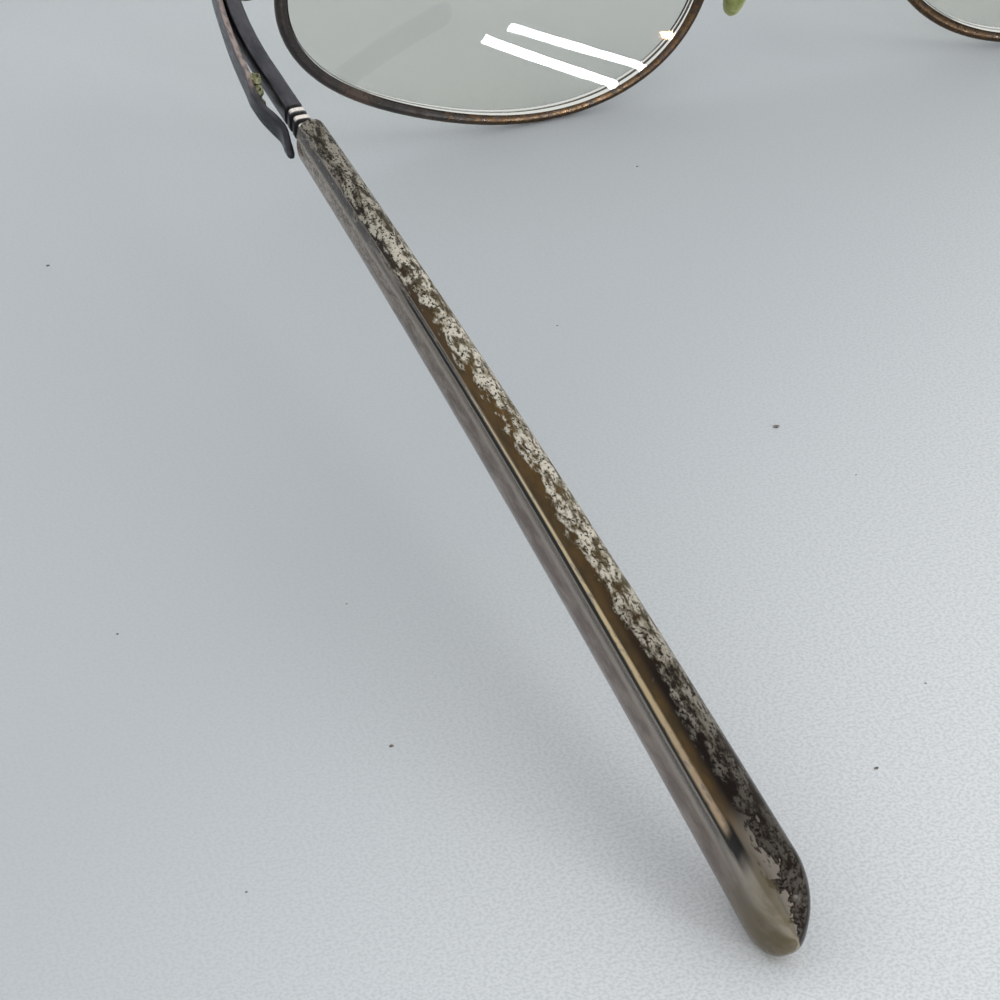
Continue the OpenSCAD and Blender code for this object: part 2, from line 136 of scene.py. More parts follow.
def flowing(stops: Stops, at: float) -> float:
    """Smooth curve through stops that never swings past them.

    Args:
        stops: pairs of place and value, in rising order of place.
        at: the place to read.

    Returns:
        The value of the curve there.
    """
    places = [p for p, _ in stops]
    if at <= places[0]:
        return stops[0][1]
    if at >= places[-1]:
        return stops[-1][1]
    k = bisect.bisect_right(places, at) - 1
    rises = [(b[1] - a[1]) / (b[0] - a[0]) for a, b in zip(stops, stops[1:])]

    def slope(i: int) -> float:
        """Slope of the curve at a stop, which is flat at the ends and where it turns.

        Args:
            i: the stop's number.

        Returns:
            The slope.
        """
        if i in (0, len(stops) - 1) or rises[i - 1] * rises[i] <= 0:
            return 0.0
        return 2 * rises[i - 1] * rises[i] / (rises[i - 1] + rises[i])

    width = places[k + 1] - places[k]
    t = (at - places[k]) / width
    return ((2 * t**3 - 3 * t * t + 1) * stops[k][1] + (t**3 - 2 * t * t + t) * width * slope(k)
            + (3 * t * t - 2 * t**3) * stops[k + 1][1] + (t**3 - t * t) * width * slope(k + 1))


def oval(width: float, height: float, power: float, points: int) -> Section:
    """Section with rounded corners.

    Args:
        width: size across.
        height: size upwards.
        power: 2 gives an ellipse, and a higher power is squarer.
        points: how many points go round.

    Returns:
        Pairs of outwards and upwards.
    """
    section = []
    for i in range(points):
        c, s = math.cos(math.tau * i / points), math.sin(math.tau * i / points)
        section.append((math.copysign(abs(c) ** (2 / power), c) * width / 2,
                        math.copysign(abs(s) ** (2 / power), s) * height / 2))
    return section


def ripple(point: Vector, size: float) -> float:
    """Smooth noise from -1 to 1 whose lumps are size millimetres across."""
    return noise.noise(point / size)


# ---- meshes ----


@dataclass
class Skin:
    """A surface drawn through rings of points, with marks that its finish reads.

    Attributes:
        name: the piece's name.
        side: the right side is the mirror image of the left one.
        rings: the rings, in millimetres, each with as many points.
        marks: for each mark, one number a point, in the order of the points.
    """

    name: str
    side: Side = Side.LEFT
    rings: list[Ring] = field(default_factory=list)
    marks: dict[str, list[float]] = field(default_factory=dict)

    def add(self, ring: Ring, **marks: list[float] | float) -> None:
        """Adds a ring.

        Args:
            ring: its points.
            marks: a number for the whole ring, or one for each point.
        """
        self.rings.append(ring)
        for mark, values in marks.items():
            each = values if isinstance(values, list) else [values] * len(ring)
            self.marks.setdefault(mark, []).extend(each)

    def make(self, sharp_deg: float = 40.0) -> bpy.types.Object:
        """Builds the piece, closed at both ends.

        Args:
            sharp_deg: edges that turn more than this keep a crisp line.

        Returns:
            The new object, in metres.
        """
        mesh = bpy.data.meshes.new(self.name)
        around = len(self.rings[0])
        turn = Vector((self.side.value, 1, 1))
        points = [p * turn * MM for ring in self.rings for p in ring]
        faces = [(r * around + i, r * around + (i + 1) % around,
                  (r + 1) * around + (i + 1) % around, (r + 1) * around + i)
                 for r in range(len(self.rings) - 1) for i in range(around)]
        faces.append(tuple(range(around)))
        faces.append(tuple(range(len(points) - around, len(points))))
        mesh.from_pydata(points, [], faces)
        for mark, values in self.marks.items():
            mesh.attributes.new(mark, "FLOAT", "POINT").data.foreach_set("value", values)
        return finished(self.name, mesh, sharp_deg)


def finished(name: str, mesh: bpy.types.Mesh, sharp_deg: float) -> bpy.types.Object:
    """Turns a mesh's faces outwards, smooths it and puts it in the scene.

    Args:
        name: the new object's name.
        mesh: the mesh.
        sharp_deg: edges that turn more than this keep a crisp line.

    Returns:
        The new object.
    """
    bm = bmesh.new()
    bm.from_mesh(mesh)
    bmesh.ops.recalc_face_normals(bm, faces=bm.faces)
    bm.to_mesh(mesh)
    bm.free()
    mesh.shade_smooth()
    mesh.set_sharp_from_angle(angle=math.radians(sharp_deg))
    piece = bpy.data.objects.new(name, mesh)
    bpy.context.scene.collection.objects.link(piece)
    return piece


def eased_copy(node: str, name: str, edge: float) -> bpy.types.Object:
    """Copy of a CAD node with its sharp edges rounded, as a tumbled part has them.

    Args:
        node: the CAD node.
        name: the new piece's name.
        edge: radius of the rounded edges.

    Returns:
        The new object, where the node is.
    """
    bm = bmesh.new()
    bm.from_mesh(frame["nodes"][node].data)
    bmesh.ops.remove_doubles(bm, verts=bm.verts, dist=1e-7)
    bmesh.ops.dissolve_limit(bm, angle_limit=math.radians(0.5), verts=bm.verts, edges=bm.edges)
    sharp = [e for e in bm.edges
             if len(e.link_faces) == 2 and e.calc_face_angle(0.0) > math.radians(28)]
    bmesh.ops.bevel(bm, geom=sharp, offset=edge * MM, segments=3, profile=0.55, affect="EDGES",
                    clamp_overlap=True)
    bmesh.ops.remove_doubles(bm, verts=bm.verts, dist=1e-7)
    bmesh.ops.triangulate(bm, faces=[f for f in bm.faces if len(f.verts) > 4])
    mesh = bpy.data.meshes.new(name)
    bm.to_mesh(mesh)
    bm.free()
    return finished(name, mesh, 32.0)


def settle(piece: bpy.types.Object, body: Body, nodes: list[str],
           material: bpy.types.Material) -> bpy.types.Object:
    """Dresses a piece and gives it its place in the model.

    Args:
        piece: the new object.
        body: the body that it moves with.
        nodes: the CAD nodes that it stands for.
        material: its finish.

    Returns:
        The piece.
    """
    piece.data.materials.clear()
    piece.data.materials.append(material)
    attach(piece, body.value)
    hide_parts(*nodes)
    LOG.info("%s: %d faces, rides on %s", piece.name, len(piece.data.polygons), body.value)
    return piece


# ---- finishes ----


def linear(hex_colour: str) -> Colour:
    """Turns an sRGB colour into the linear colour that a shader takes.

    Args:
        hex_colour: a colour such as "#8c5f3c".

    Returns:
        Red, green, blue and a full alpha.
    """
    parts = [int(hex_colour[i:i + 2], 16) / 255 for i in (1, 3, 5)]
    red, green, blue = (p / 12.92 if p <= 0.04045 else ((p + 0.055) / 1.055) ** 2.4 for p in parts)
    return red, green, blue, 1.0


@dataclass(frozen=True)
class Kind:
    """What one kind of shader node needs.

    Attributes:
        type: the node's type.
        output: the output that the next node reads.
        inputs: the inputs that are given values, in order.
        settings: the node's own settings, as pairs of name and value.
    """

    type: str
    output: str | int
    inputs: tuple[str | int, ...] = ()
    settings: tuple[tuple[str, str], ...] = ()


class Node(Enum):
    """The kinds of node that the finishes and the sky are made of."""

    MARK = Kind("ShaderNodeAttribute", "Fac")
    PLACE = Kind("ShaderNodeTexCoord", "Object")
    SHADOW_RAY = Kind("ShaderNodeLightPath", "Is Shadow Ray")
    CAMERA_RAY = Kind("ShaderNodeLightPath", "Is Camera Ray")
    SCALED = Kind("ShaderNodeMapping", "Vector", ("Vector", "Scale"))
    CLOUDS = Kind("ShaderNodeTexNoise", "Fac", ("Vector", "Scale", "Detail", "Roughness"))
    # a value spread from one pair of limits over another, clamped and smooth
    RAMP = Kind("ShaderNodeMapRange", "Result",
                ("Value", "From Min", "From Max", "To Min", "To Max"),
                (("interpolation_type", "SMOOTHSTEP"),))
    # a mix node has inputs for every kind of data, and these are its factor and its two colours
    BLEND = Kind("ShaderNodeMix", 2, (0, 6, 7), (("data_type", "RGBA"),))
    PLUS = Kind("ShaderNodeMath", 0, (0, 1), (("operation", "ADD"),))
    MINUS = Kind("ShaderNodeMath", 0, (0, 1), (("operation", "SUBTRACT"),))
    TIMES = Kind("ShaderNodeMath", 0, (0, 1), (("operation", "MULTIPLY"),))
    OVER = Kind("ShaderNodeMath", 0, (0, 1), (("operation", "DIVIDE"),))
    LARGER = Kind("ShaderNodeMath", 0, (0, 1), (("operation", "MAXIMUM"),))
    SIZE = Kind("ShaderNodeMath", 0, (0,), (("operation", "ABSOLUTE"),))
    REACH = Kind("ShaderNodeVectorMath", "Value", (0, 1), (("operation", "DOT_PRODUCT"),))
    BUMP = Kind("ShaderNodeBump", "Normal", ("Height", "Distance", "Strength"))
    CLEAR = Kind("ShaderNodeBsdfTransparent", "BSDF", ("Color",))
    SMOKE = Kind("ShaderNodeVolumeAbsorption", "Volume", ("Color", "Density"))
    EITHER = Kind("ShaderNodeMixShader", 0, (0, 1, 2))


class Recipe:
    """The node tree of one finish, or of the sky, with the shader that it starts from."""

    def __init__(self, owner: bpy.types.Material | bpy.types.World, shader: str) -> None:
        """Starts the tree.

        Args:
            owner: the new material or world.
            shader: the name of the shader that it starts from.
        """
        self.owner = owner
        owner.use_nodes = True
        self.tree = owner.node_tree
        self.surface = self.tree.nodes[shader]

    @staticmethod
    def finish(name: str) -> "Recipe":
        """Starts the recipe of a new material."""
        return Recipe(bpy.data.materials.new(name), "Principled BSDF")

    def add(self, node: Node, *values: object, **settings: object) -> Socket:
        """Adds a node with its settings and links.

        Args:
            node: its kind.
            values: a number, a hex colour or another node's socket for each of its inputs; the
                inputs left over keep their defaults.
            settings: settings that this node alone has.

        Returns:
            The output that the next node reads.
        """
        made = self.tree.nodes.new(node.value.type)
        for name, setting in (*node.value.settings, *settings.items()):
            setattr(made, name, setting)
        for key, value in zip(node.value.inputs, values):
            self.put(made.inputs[key], value)
        return made.outputs[node.value.output]

    def put(self, socket: Socket, value: object) -> None:
        """Links another socket to this one, or sets its value.

        Args:
            socket: the input.
            value: a socket, a number, a vector or a hex colour.
        """
        if isinstance(value, bpy.types.NodeSocket):
            self.tree.links.new(value, socket)
        else:
            socket.default_value = linear(value) if isinstance(value, str) else value

    def dress(self, **values: object) -> None:
        """Sets inputs of the shader.

        Args:
            values: a value or a socket for each input, named with underscores for its spaces.
        """
        for name, value in values.items():
            self.put(self.surface.inputs[name.replace("_", " ")], value)

    def mottle(self, size: float, run: float = 1.0, detail: float = 3.0) -> Socket:
        """Cloudy pattern fixed to the piece.

        Args:
            size: width of its lumps in millimetres.
            run: how many times longer they are along the temple than across it.
            detail: how much fine structure they have.

        Returns:
            A value that is mostly between 0.3 and 0.7.
        """
        drawn = self.add(Node.SCALED, self.add(Node.PLACE), (1, 1 / run, 1))
        return self.add(Node.CLOUDS, drawn, 1 / (size * MM), detail, CLOUD_ROUGHNESS)

    def let_lamps_through(self, tint: str) -> None:
        """Lets the rays that look for lamps pass, so that what lies behind the piece is lit.

        Args:
            tint: the colour that they take.
        """
        either = self.add(Node.EITHER, self.add(Node.SHADOW_RAY), self.surface.outputs[0],
                          self.add(Node.CLEAR, tint))
        self.put(self.tree.nodes["Material Output"].inputs["Surface"], either)


@dataclass(frozen=True)
class StovedEnamel:
    """Dark brown enamel, baked on a copper alloy wire: glossy, and rubbed through to warm metal."""

    name: str = "stoved_enamel"
    dark: str = "#1c1512"
    brown: str = "#3a2a20"
    copper: str = "#5f4b33"
    old_copper: str = "#3a2c20"
    chip_size: float = 0.7
    cloud_size: float = 4.0
    gloss_size: float = 0.9
    # the skin of baked enamel ripples every 0.1 mm, too fine to show, so it is drawn coarser
    ripple_size: float = 0.25

    def make(self) -> bpy.types.Material:
        """Builds the material, which reads the mark "wear".

        Returns:
            The material.
        """
        r = Recipe.finish(self.name)
        chips = r.mottle(self.chip_size, detail=5.0)
        wear = r.add(Node.TIMES, r.add(Node.MARK, attribute_name="wear"), 0.42)
        bare = r.add(Node.RAMP, r.add(Node.PLUS, chips, wear), 0.74, 0.92, 0.0, 0.75)
        coat = r.add(Node.BLEND, r.add(Node.RAMP, r.mottle(self.cloud_size), 0.4, 0.65), self.dark,
                     self.brown)
        metal = r.add(Node.BLEND, r.add(Node.RAMP, chips, 0.35, 0.65), self.old_copper, self.copper)
        ripples = r.add(Node.TIMES, r.mottle(self.ripple_size), 0.3)
        r.dress(Base_Color=r.add(Node.BLEND, bare, coat, metal), Metallic=bare,
                Roughness=r.add(Node.RAMP, r.mottle(self.gloss_size), *CLOUD_RANGE, 0.2, 0.42),
                Normal=r.add(Node.BUMP, r.add(Node.MINUS, ripples, bare), 0.02 * MM, 0.6))
        return r.owner


@dataclass(frozen=True)
class GunmetalPlating:
    """Dark satin plating on brass wire: scuffed along its length, pink where edges are rubbed.

    The pink along the plate's top edge is a painted highlight, as are the pale ring crests and the
    line along the core, and the ring grooves carry grime with painted shade.
    """

    name: str = "gunmetal_plating"
    plate: str = "#3b3b40"
    light_plate: str = "#57565b"
    # pink of corners rubbed through the plating; along the plate's top edge it is a painted highlight
    rubbed: str = "#b3a098"
    brass: str = "#6b5230"
    tarnish: str = "#33261b"
    # painted highlight on the crests of the turned rings and along the core's upper outer edge
    painted_highlight_tone: str = "#f8efe6"
    # grime with painted shade in the grooves of the turned rings
    grime_and_shade: str = "#0e0b09"
    # a cloth leaves scratches 0.02 mm wide, too fine to show, so they are drawn as wider scuffs
    scuff_size: float = 0.3
    cloud_size: float = 2.6
    tarnish_size: float = 2.0
    grime_size: float = 0.35

    def make(self) -> bpy.types.Material:
        """Builds the material, which reads the marks "edge", "bare", "groove" and "gleam".

        Returns:
            The material.
        """
        r = Recipe.finish(self.name)
        edge, bare, groove, gleam = (r.add(Node.MARK, attribute_name=mark)
                                     for mark in ("edge", "bare", "groove", "gleam"))
        scuffs = r.mottle(self.scuff_size, run=7.0, detail=4.0)
        # painted highlight on the ring crests and the core, broken by the scuffs
        gleam = r.add(Node.TIMES, gleam, r.add(Node.RAMP, scuffs, 0.3, 0.5, 0.55, 1.0))
        # rubbed pink at the wire's corners, and a painted highlight along the plate's top edge
        worn = r.add(Node.TIMES, edge, r.add(Node.RAMP, scuffs, 0.35, 0.6, 0.25, 1.0))
        plating = r.add(Node.RAMP, r.mottle(self.cloud_size, run=2.0), 0.35, 0.7)
        plating = r.add(Node.BLEND, plating, self.plate, self.light_plate)
        plating = r.add(Node.BLEND, worn, plating, self.rubbed)
        brass = r.add(Node.RAMP, r.mottle(self.tarnish_size, run=5.0), 0.42, 0.62)
        brass = r.add(Node.BLEND, brass, self.brass, self.tarnish)
        metal = r.add(Node.BLEND, bare, plating, brass)
        # the pale painted highlight laid over the metal
        metal = r.add(Node.BLEND, gleam, metal, self.painted_highlight_tone)
        # grime with painted shade in the ring grooves
        grime_and_shade_share = r.add(Node.RAMP, r.mottle(self.grime_size), 0.3, 0.5, 0.7, 1.0)
        grime_and_shade_share = r.add(Node.TIMES, groove, grime_and_shade_share)
        # less metallic under the painted highlight and under the grime with painted shade
        dulled = r.add(Node.LARGER, r.add(Node.TIMES, grime_and_shade_share, 0.8), r.add(Node.TIMES, gleam, 0.6))
        satin = r.add(Node.RAMP, scuffs, *CLOUD_RANGE, 0.3, 0.46)
        r.dress(Base_Color=r.add(Node.BLEND, grime_and_shade_share, metal, self.grime_and_shade),
                Metallic=r.add(Node.MINUS, 1.0, dulled),
                Roughness=r.add(Node.PLUS, satin, r.add(Node.TIMES, grime_and_shade_share, 0.3)),
                Normal=r.add(Node.BUMP, scuffs, 0.015 * MM, 0.5))
        return r.owner


@dataclass(frozen=True)
class NickelSilver:
    """Machined nickel silver of hinges and pad tabs: dull yellowish grey, with darker clouds."""

    name: str = "nickel_silver"
    metal: str = "#8f8a80"
    dull: str = "#5a544a"
    cloud_size: float = 1.1
    smudge_size: float = 0.3
    # a cutter leaves lines 0.04 mm apart, too fine to show, so they are drawn coarser
    tool_mark: float = 0.12

    def make(self) -> bpy.types.Material:
        """Builds the material.

        Returns:
            The material.
        """
        r = Recipe.finish(self.name)
        clouds = r.add(Node.RAMP, r.mottle(self.cloud_size, detail=4.0), 0.38, 0.68)
        r.dress(Base_Color=r.add(Node.BLEND, clouds, self.metal, self.dull), Metallic=1.0,
                Roughness=r.add(Node.RAMP, r.mottle(self.smudge_size), *CLOUD_RANGE, 0.3, 0.5),
                Normal=r.add(Node.BUMP, r.mottle(self.tool_mark), 0.008 * MM, 0.4))
        return r.owner


@dataclass(frozen=True)
class ScrewSteel:
    """Turned stainless steel: bright, with fine tool marks and a few brown stains."""

    name: str = "screw_steel"
    steel: str = "#a3a29e"
    stain: str = "#5d4a38"
    stain_size: float = 0.5
    smudge_size: float = 0.2
    # a lathe leaves rings 0.03 mm apart, too fine to show, so they are drawn as coarser flecks
    tool_mark: float = 0.08

    def make(self) -> bpy.types.Material:
        """Builds the material.

        Returns:
            The material.
        """
        r = Recipe.finish(self.name)
        stains = r.add(Node.RAMP, r.mottle(self.stain_size), 0.5, 0.72)
        r.dress(Base_Color=r.add(Node.BLEND, stains, self.steel, self.stain), Metallic=1.0,
                Roughness=r.add(Node.RAMP, r.mottle(self.smudge_size), *CLOUD_RANGE, 0.22, 0.4),
                Normal=r.add(Node.BUMP, r.mottle(self.tool_mark), 0.005 * MM, 0.4))
        return r.owner


@dataclass(frozen=True)
class LensResin:
    """Cast lens resin: clear with a faint warm grey tint, polished, with a haze of wipe marks."""

    name: str = "lens_resin"
    tint: str = "#f0f0e8"
    shade: str = "#cfcfc8"
    ior: float = 1.5
    wipe_size: float = 6.0

    def make(self) -> bpy.types.Material:
        """Builds the material, which lets the lamps through to what lies behind it.

        Returns:
            The material.
        """
        r = Recipe.finish(self.name)
        wiped = r.add(Node.RAMP, r.mottle(self.wipe_size, detail=5.0), 0.45, 0.75, 0.015, 0.04)
        r.dress(Base_Color=self.tint, Transmission_Weight=1.0, IOR=self.ior, Roughness=wiped)
        r.let_lamps_through(self.shade)
        return r.owner


@dataclass(frozen=True)
class SleeveFace:
    """What the bands of a sleeve's finish are drawn from.

    Attributes:
        blotch: broad clouds.
        streak: clouds drawn out along the sleeve.
        craze: the fine pattern of the cracks.
        along: 0 at the sleeve's mouth and 1 at its tip.
        inner: 1 on the inner side and -1 on the outer one.
        facing: higher towards the top and the inner side, lower towards the outer underside.
        from_ridge: facing, counted from the line of the core's painted highlight.
        off_ridge: how far a point is from that line, as a share of the line's half width.
        worn: how worn the surface is, higher towards the top and the mouth.
    """

    blotch: Socket
    streak: Socket
    craze: Socket
    along: Socket
    inner: Socket
    facing: Socket
    from_ridge: Socket
    off_ridge: Socket
    worn: Socket


@dataclass(frozen=True)
class CelluloseAcetate:
    """Smoky brown acetate moulded on a brass core, worn by skin.

    Its top is crazed and bloomed to pale olive and grey, its tip is stained almost black, its outer
    side is clear near the core and smeared below it, and where the core lies the acetate carries a
    painted highlight, a gold line, with a painted shadow line under it. Both are painted in the
    acetate because the worn sides hide the real core. Each band is a share from 0 to 1, from limits
    that are fields: where it starts and where it is full, and at times its values there.
    """

    name: str = "cellulose_acetate"
    clear: str = "#e9dccb"
    smear: str = "#625550"
    scuffed: str = "#8f8983"
    bloom: str = "#8d8674"
    pale: str = "#cdc6b6"
    olive: str = "#57513f"
    # dark of the cracks, and of the painted shadow line under the core
    crack_and_shade: str = "#15100c"
    stain: str = "#180f0a"
    amber: str = "#5a4424"
    tawny: str = "#44351c"
    # gold and copper of the painted highlight where the core shows
    gold: str = "#d6bf92"
    copper: str = "#b0977a"
    haze: str = "#5f583c"
    smoke: str = "#a68b7c"
    smoke_density: float = 300.0
    lamp_tint: str = "#bfae98"
    ior: float = 1.49
    gloss_level: float = 0.1
    blotch_size: float = 1.2
    streak_size: float = 0.42
    # the cracks lie 0.1 mm apart, too fine to show, so they are drawn twice as coarse
    craze_size: float = 0.22
    # the painted highlight of the core: where it lies round the sleeve, half its width, and its two
    # ends
    ridge_place: Limits = (0.35, 0.9, -0.06, -0.18)
    ridge_half: Limits = (0.42, 0.92, 0.024, 0.1)
    ridge_from: Limits = (0.33, 0.48)
    ridge_to: Limits = (0.925, 0.905)
    # the painted shadow line under it, across and along, and the painted dark point that ends it
    groove_above: Limits = (-0.03, -0.07)
    groove_below: Limits = (-0.24, -0.15)
    groove_from: Limits = (0.15, 0.3)
    groove_to: Limits = (0.945, 0.925)
    point_from: Limits = (0.905, 0.92)
    point_to: Limits = (0.96, 0.935)
    # where the crazing starts and fades, and the dark inner side
    craze_from: Limits = (0.04, 0.3, 0.45, 1.0)
    craze_to: Limits = (0.6, 0.93, 1.0, 0.1)
    brink_side: Limits = (0.6, 0.78, 0.0, 0.94)

    def face(self, r: Recipe) -> SleeveFace:
        """Reads the sleeve's marks and lays its patterns.

        Args:
            r: the recipe.

        Returns:
            What the bands are drawn from.
        """
        blotch = r.mottle(self.blotch_size, run=2.8, detail=6.0)
        streak = r.mottle(self.streak_size, run=4.0, detail=5.0)
        craze = r.mottle(self.craze_size, run=1.6, detail=3.0)
        along, inner, top = (r.add(Node.MARK, attribute_name=mark)
                             for mark in ("along", "inner", "top"))
        facing = r.add(Node.PLUS, r.add(Node.TIMES, top, 0.7), r.add(Node.TIMES, inner, 0.65))
        from_ridge = r.add(Node.MINUS, facing, r.add(Node.RAMP, along, *self.ridge_place))
        off_ridge = r.add(Node.OVER, r.add(Node.SIZE, from_ridge),
                          r.add(Node.RAMP, along, *self.ridge_half))
        ragged = r.add(Node.PLUS, r.add(Node.TIMES, blotch, 1.3), r.add(Node.TIMES, streak, 1.1))
        worn = r.add(Node.PLUS, facing, r.add(Node.MINUS, ragged, 1.2))
        worn = r.add(Node.PLUS, worn, r.add(Node.RAMP, along, 0.5, 0.12, 0.0, 0.35))
        return SleeveFace(blotch, streak, craze, along, inner, facing, from_ridge, off_ridge, worn)

    def core_highlight(self, r: Recipe, f: SleeveFace) -> Socket:
        """The painted highlight of the core, a bright line.

        Args:
            r: the recipe.
            f: what the bands are drawn from.

        Returns:
            Its share, broken by the streaks.
        """
        reach = r.add(Node.TIMES, r.add(Node.RAMP, f.along, *self.ridge_from),
                      r.add(Node.RAMP, f.along, *self.ridge_to))
        line = r.add(Node.TIMES, r.add(Node.RAMP, f.off_ridge, 1.3, 0.4), reach)
        return r.add(Node.TIMES, line, r.add(Node.RAMP, f.streak, 0.36, 0.5, 0.45, 1.0))

    def groove(self, r: Recipe, f: SleeveFace) -> Socket:
        """The painted shadow line under the core, and the painted dark point that ends it.

        Args:
            r: the recipe.
            f: what the bands are drawn from.

        Returns:
            The larger share of the two.
        """
        reach = r.add(Node.TIMES, r.add(Node.RAMP, f.along, *self.groove_from),
                      r.add(Node.RAMP, f.along, *self.groove_to))
        line = r.add(Node.TIMES, r.add(Node.RAMP, f.from_ridge, *self.groove_above),
                     r.add(Node.RAMP, f.from_ridge, *self.groove_below))
        point = r.add(Node.TIMES, r.add(Node.RAMP, f.along, *self.point_from),
                      r.add(Node.RAMP, f.along, *self.point_to))
        point = r.add(Node.TIMES, point, r.add(Node.RAMP, f.off_ridge, 2.2, 1.2))
        return r.add(Node.LARGER, r.add(Node.TIMES, line, reach), point)

    def crazed(self, r: Recipe, f: SleeveFace) -> Socket:
        """The crazed and bloomed top.

        Args:
            r: the recipe.
            f: what the bands are drawn from.

        Returns:
            Its share, which fades towards both ends.
        """
        reach = r.add(Node.TIMES, r.add(Node.RAMP, f.along, *self.craze_from),
                      r.add(Node.RAMP, f.along, *self.craze_to))
        top = r.add(Node.TIMES, r.add(Node.RAMP, f.worn, 0.34, 0.62), reach)
        return r.add(Node.TIMES, top, r.add(Node.RAMP, f.streak, 0.4, 0.52, 0.55, 1.0))

    def crazed_tone(self, r: Recipe, f: SleeveFace) -> Socket:
        """Colour of the crazed top: olive and grey bloom, pale patches and dark cracks.

        Args:
            r: the recipe.
            f: what the bands are drawn from.

        Returns:
            The colour.
        """
        bloomed = r.add(Node.RAMP, f.streak, 0.42, 0.52)
        tone = r.add(Node.BLEND, bloomed, self.olive, self.bloom)
        patches = r.add(Node.RAMP, r.add(Node.PLUS, f.blotch, f.streak), 0.9, 1.12)
        tone = r.add(Node.BLEND, patches, tone, self.pale)
        return r.add(Node.BLEND, r.add(Node.RAMP, f.craze, 0.48, 0.38), tone, self.crack_and_shade)

    def covered(self, r: Recipe, f: SleeveFace) -> Socket:
        """The solid brown under the crazed top, down to the bright line.

        Args:
            r: the recipe.
            f: what the bands are drawn from.

        Returns:
            Its share.
        """
        beside = r.add(Node.TIMES, r.add(Node.RAMP, f.from_ridge, 0.0, 0.08),
                       r.add(Node.RAMP, f.along, 0.0, 0.15))
        beside = r.add(Node.TIMES, beside, r.add(Node.RAMP, f.along, 0.9, 0.98, 1.0, 0.4))
        return r.add(Node.LARGER, r.add(Node.RAMP, f.worn, 0.16, 0.42), beside)

    def covered_tone(self, r: Recipe, f: SleeveFace) -> Socket:
        """Colour of the solid brown: honey in the middle, stained at the mouth and the tip.

        Args:
            r: the recipe.
            f: what the bands are drawn from.

        Returns:
            The colour.
        """
        dark_tip = r.add(Node.TIMES, r.add(Node.RAMP, f.along, 0.6, 0.8),
                         r.add(Node.RAMP, f.facing, 0.0, 0.3))
        ends = r.add(Node.LARGER, r.add(Node.RAMP, f.along, 0.4, 0.18), dark_tip)
        honey = r.add(Node.BLEND, r.add(Node.RAMP, f.blotch, 0.35, 0.65), self.amber, self.tawny)
        return r.add(Node.BLEND, ends, honey, self.stain)

    def hazed(self, r: Recipe, f: SleeveFace) -> Socket:
        """The dull haze on the outer side of the tip.

        Args:
            r: the recipe.
            f: what the bands are drawn from.

        Returns:
            Its share.
        """
        tip = r.add(Node.TIMES, r.add(Node.RAMP, f.along, 0.87, 0.98, 0.04, 0.85),
                    r.add(Node.RAMP, f.facing, 0.3, 0.0))
        return r.add(Node.TIMES, tip, r.add(Node.RAMP, f.blotch, 0.3, 0.6, 0.65, 1.0))

    def hazed_tone(self, r: Recipe, f: SleeveFace) -> Socket:
        """Colour of the haze, more olive towards the very end.

        Args:
            r: the recipe.
            f: what the bands are drawn from.

        Returns:
            The colour.
        """
        end = r.add(Node.TIMES, r.add(Node.RAMP, f.along, 0.86, 1.0),
                    r.add(Node.RAMP, f.craze, 0.35, 0.6, 0.6, 1.0))
        return r.add(Node.BLEND, end, self.smear, self.haze)

    def smeared(self, r: Recipe, f: SleeveFace) -> Socket:
        """The smeared underside and lower outer side.

        Args:
            r: the recipe.
            f: what the bands are drawn from.

        Returns:
            Its share.
        """
        return r.add(Node.TIMES, r.add(Node.RAMP, f.from_ridge, -0.2, -0.5),
                     r.add(Node.RAMP, f.blotch, 0.35, 0.6, 0.85, 0.98))

    def smeared_tone(self, r: Recipe, f: SleeveFace) -> Socket:
        """Colour of the smear: scuffed grey at the mouth, brown further on, with tawny blots.

        Args:
            r: the recipe.
            f: what the bands are drawn from.

        Returns:
            The colour.
        """
        smear = r.add(Node.BLEND, r.add(Node.RAMP, f.along, 0.0, 0.4), self.scuffed, self.smear)
        blots = r.add(Node.RAMP, r.add(Node.PLUS, f.streak, f.craze), 1.1, 0.96)
        blots = r.add(Node.TIMES, blots, r.add(Node.RAMP, f.along, 0.65, 0.3, 0.2, 0.75))
        return r.add(Node.BLEND, blots, smear, self.tawny)

    def make(self) -> bpy.types.Material:
        """Builds the material, which reads the marks "top", "inner" and "along".

        Returns:
            The material.
        """
        r = Recipe.finish(self.name)
        f = self.face(r)
        crazed, brink = self.crazed(r, f), r.add(Node.RAMP, f.inner, *self.brink_side)
        # the painted highlight of the core, gold turning copper towards the tip
        painted_core_highlight = r.add(Node.BLEND, r.add(Node.RAMP, f.along, 0.7, 0.9), self.gold, self.copper)
        body, solid = self.clear, 0.0
        # the last two bands are the painted shadow line and the painted highlight of the core
        for share, tone in ((self.smeared(r, f), self.smeared_tone(r, f)),
                            (self.covered(r, f), self.covered_tone(r, f)),
                            (self.hazed(r, f), self.hazed_tone(r, f)),
                            (crazed, self.crazed_tone(r, f)), (brink, self.stain),
                            (self.groove(r, f), self.crack_and_shade), (self.core_highlight(r, f), painted_core_highlight)):
            body = r.add(Node.BLEND, share, body, tone)
            solid = r.add(Node.LARGER, solid, share)
        rough = r.add(Node.PLUS, crazed, f.craze)
        relief = r.add(Node.PLUS, f.craze, r.add(Node.TIMES, crazed, f.streak))
        r.dress(Base_Color=body, IOR=self.ior, Specular_IOR_Level=self.gloss_level,
                Transmission_Weight=r.add(Node.RAMP, solid, 0.0, 1.0, 0.97, 0.0),
                Roughness=r.add(Node.RAMP, rough, 0.4, 1.4, 0.12, 0.6),
                Normal=r.add(Node.BUMP, relief, 0.035 * MM, 0.6))
        r.put(r.tree.nodes["Material Output"].inputs["Volume"],
              r.add(Node.SMOKE, self.smoke, self.smoke_density))
        r.let_lamps_through(self.lamp_tint)
        return r.owner


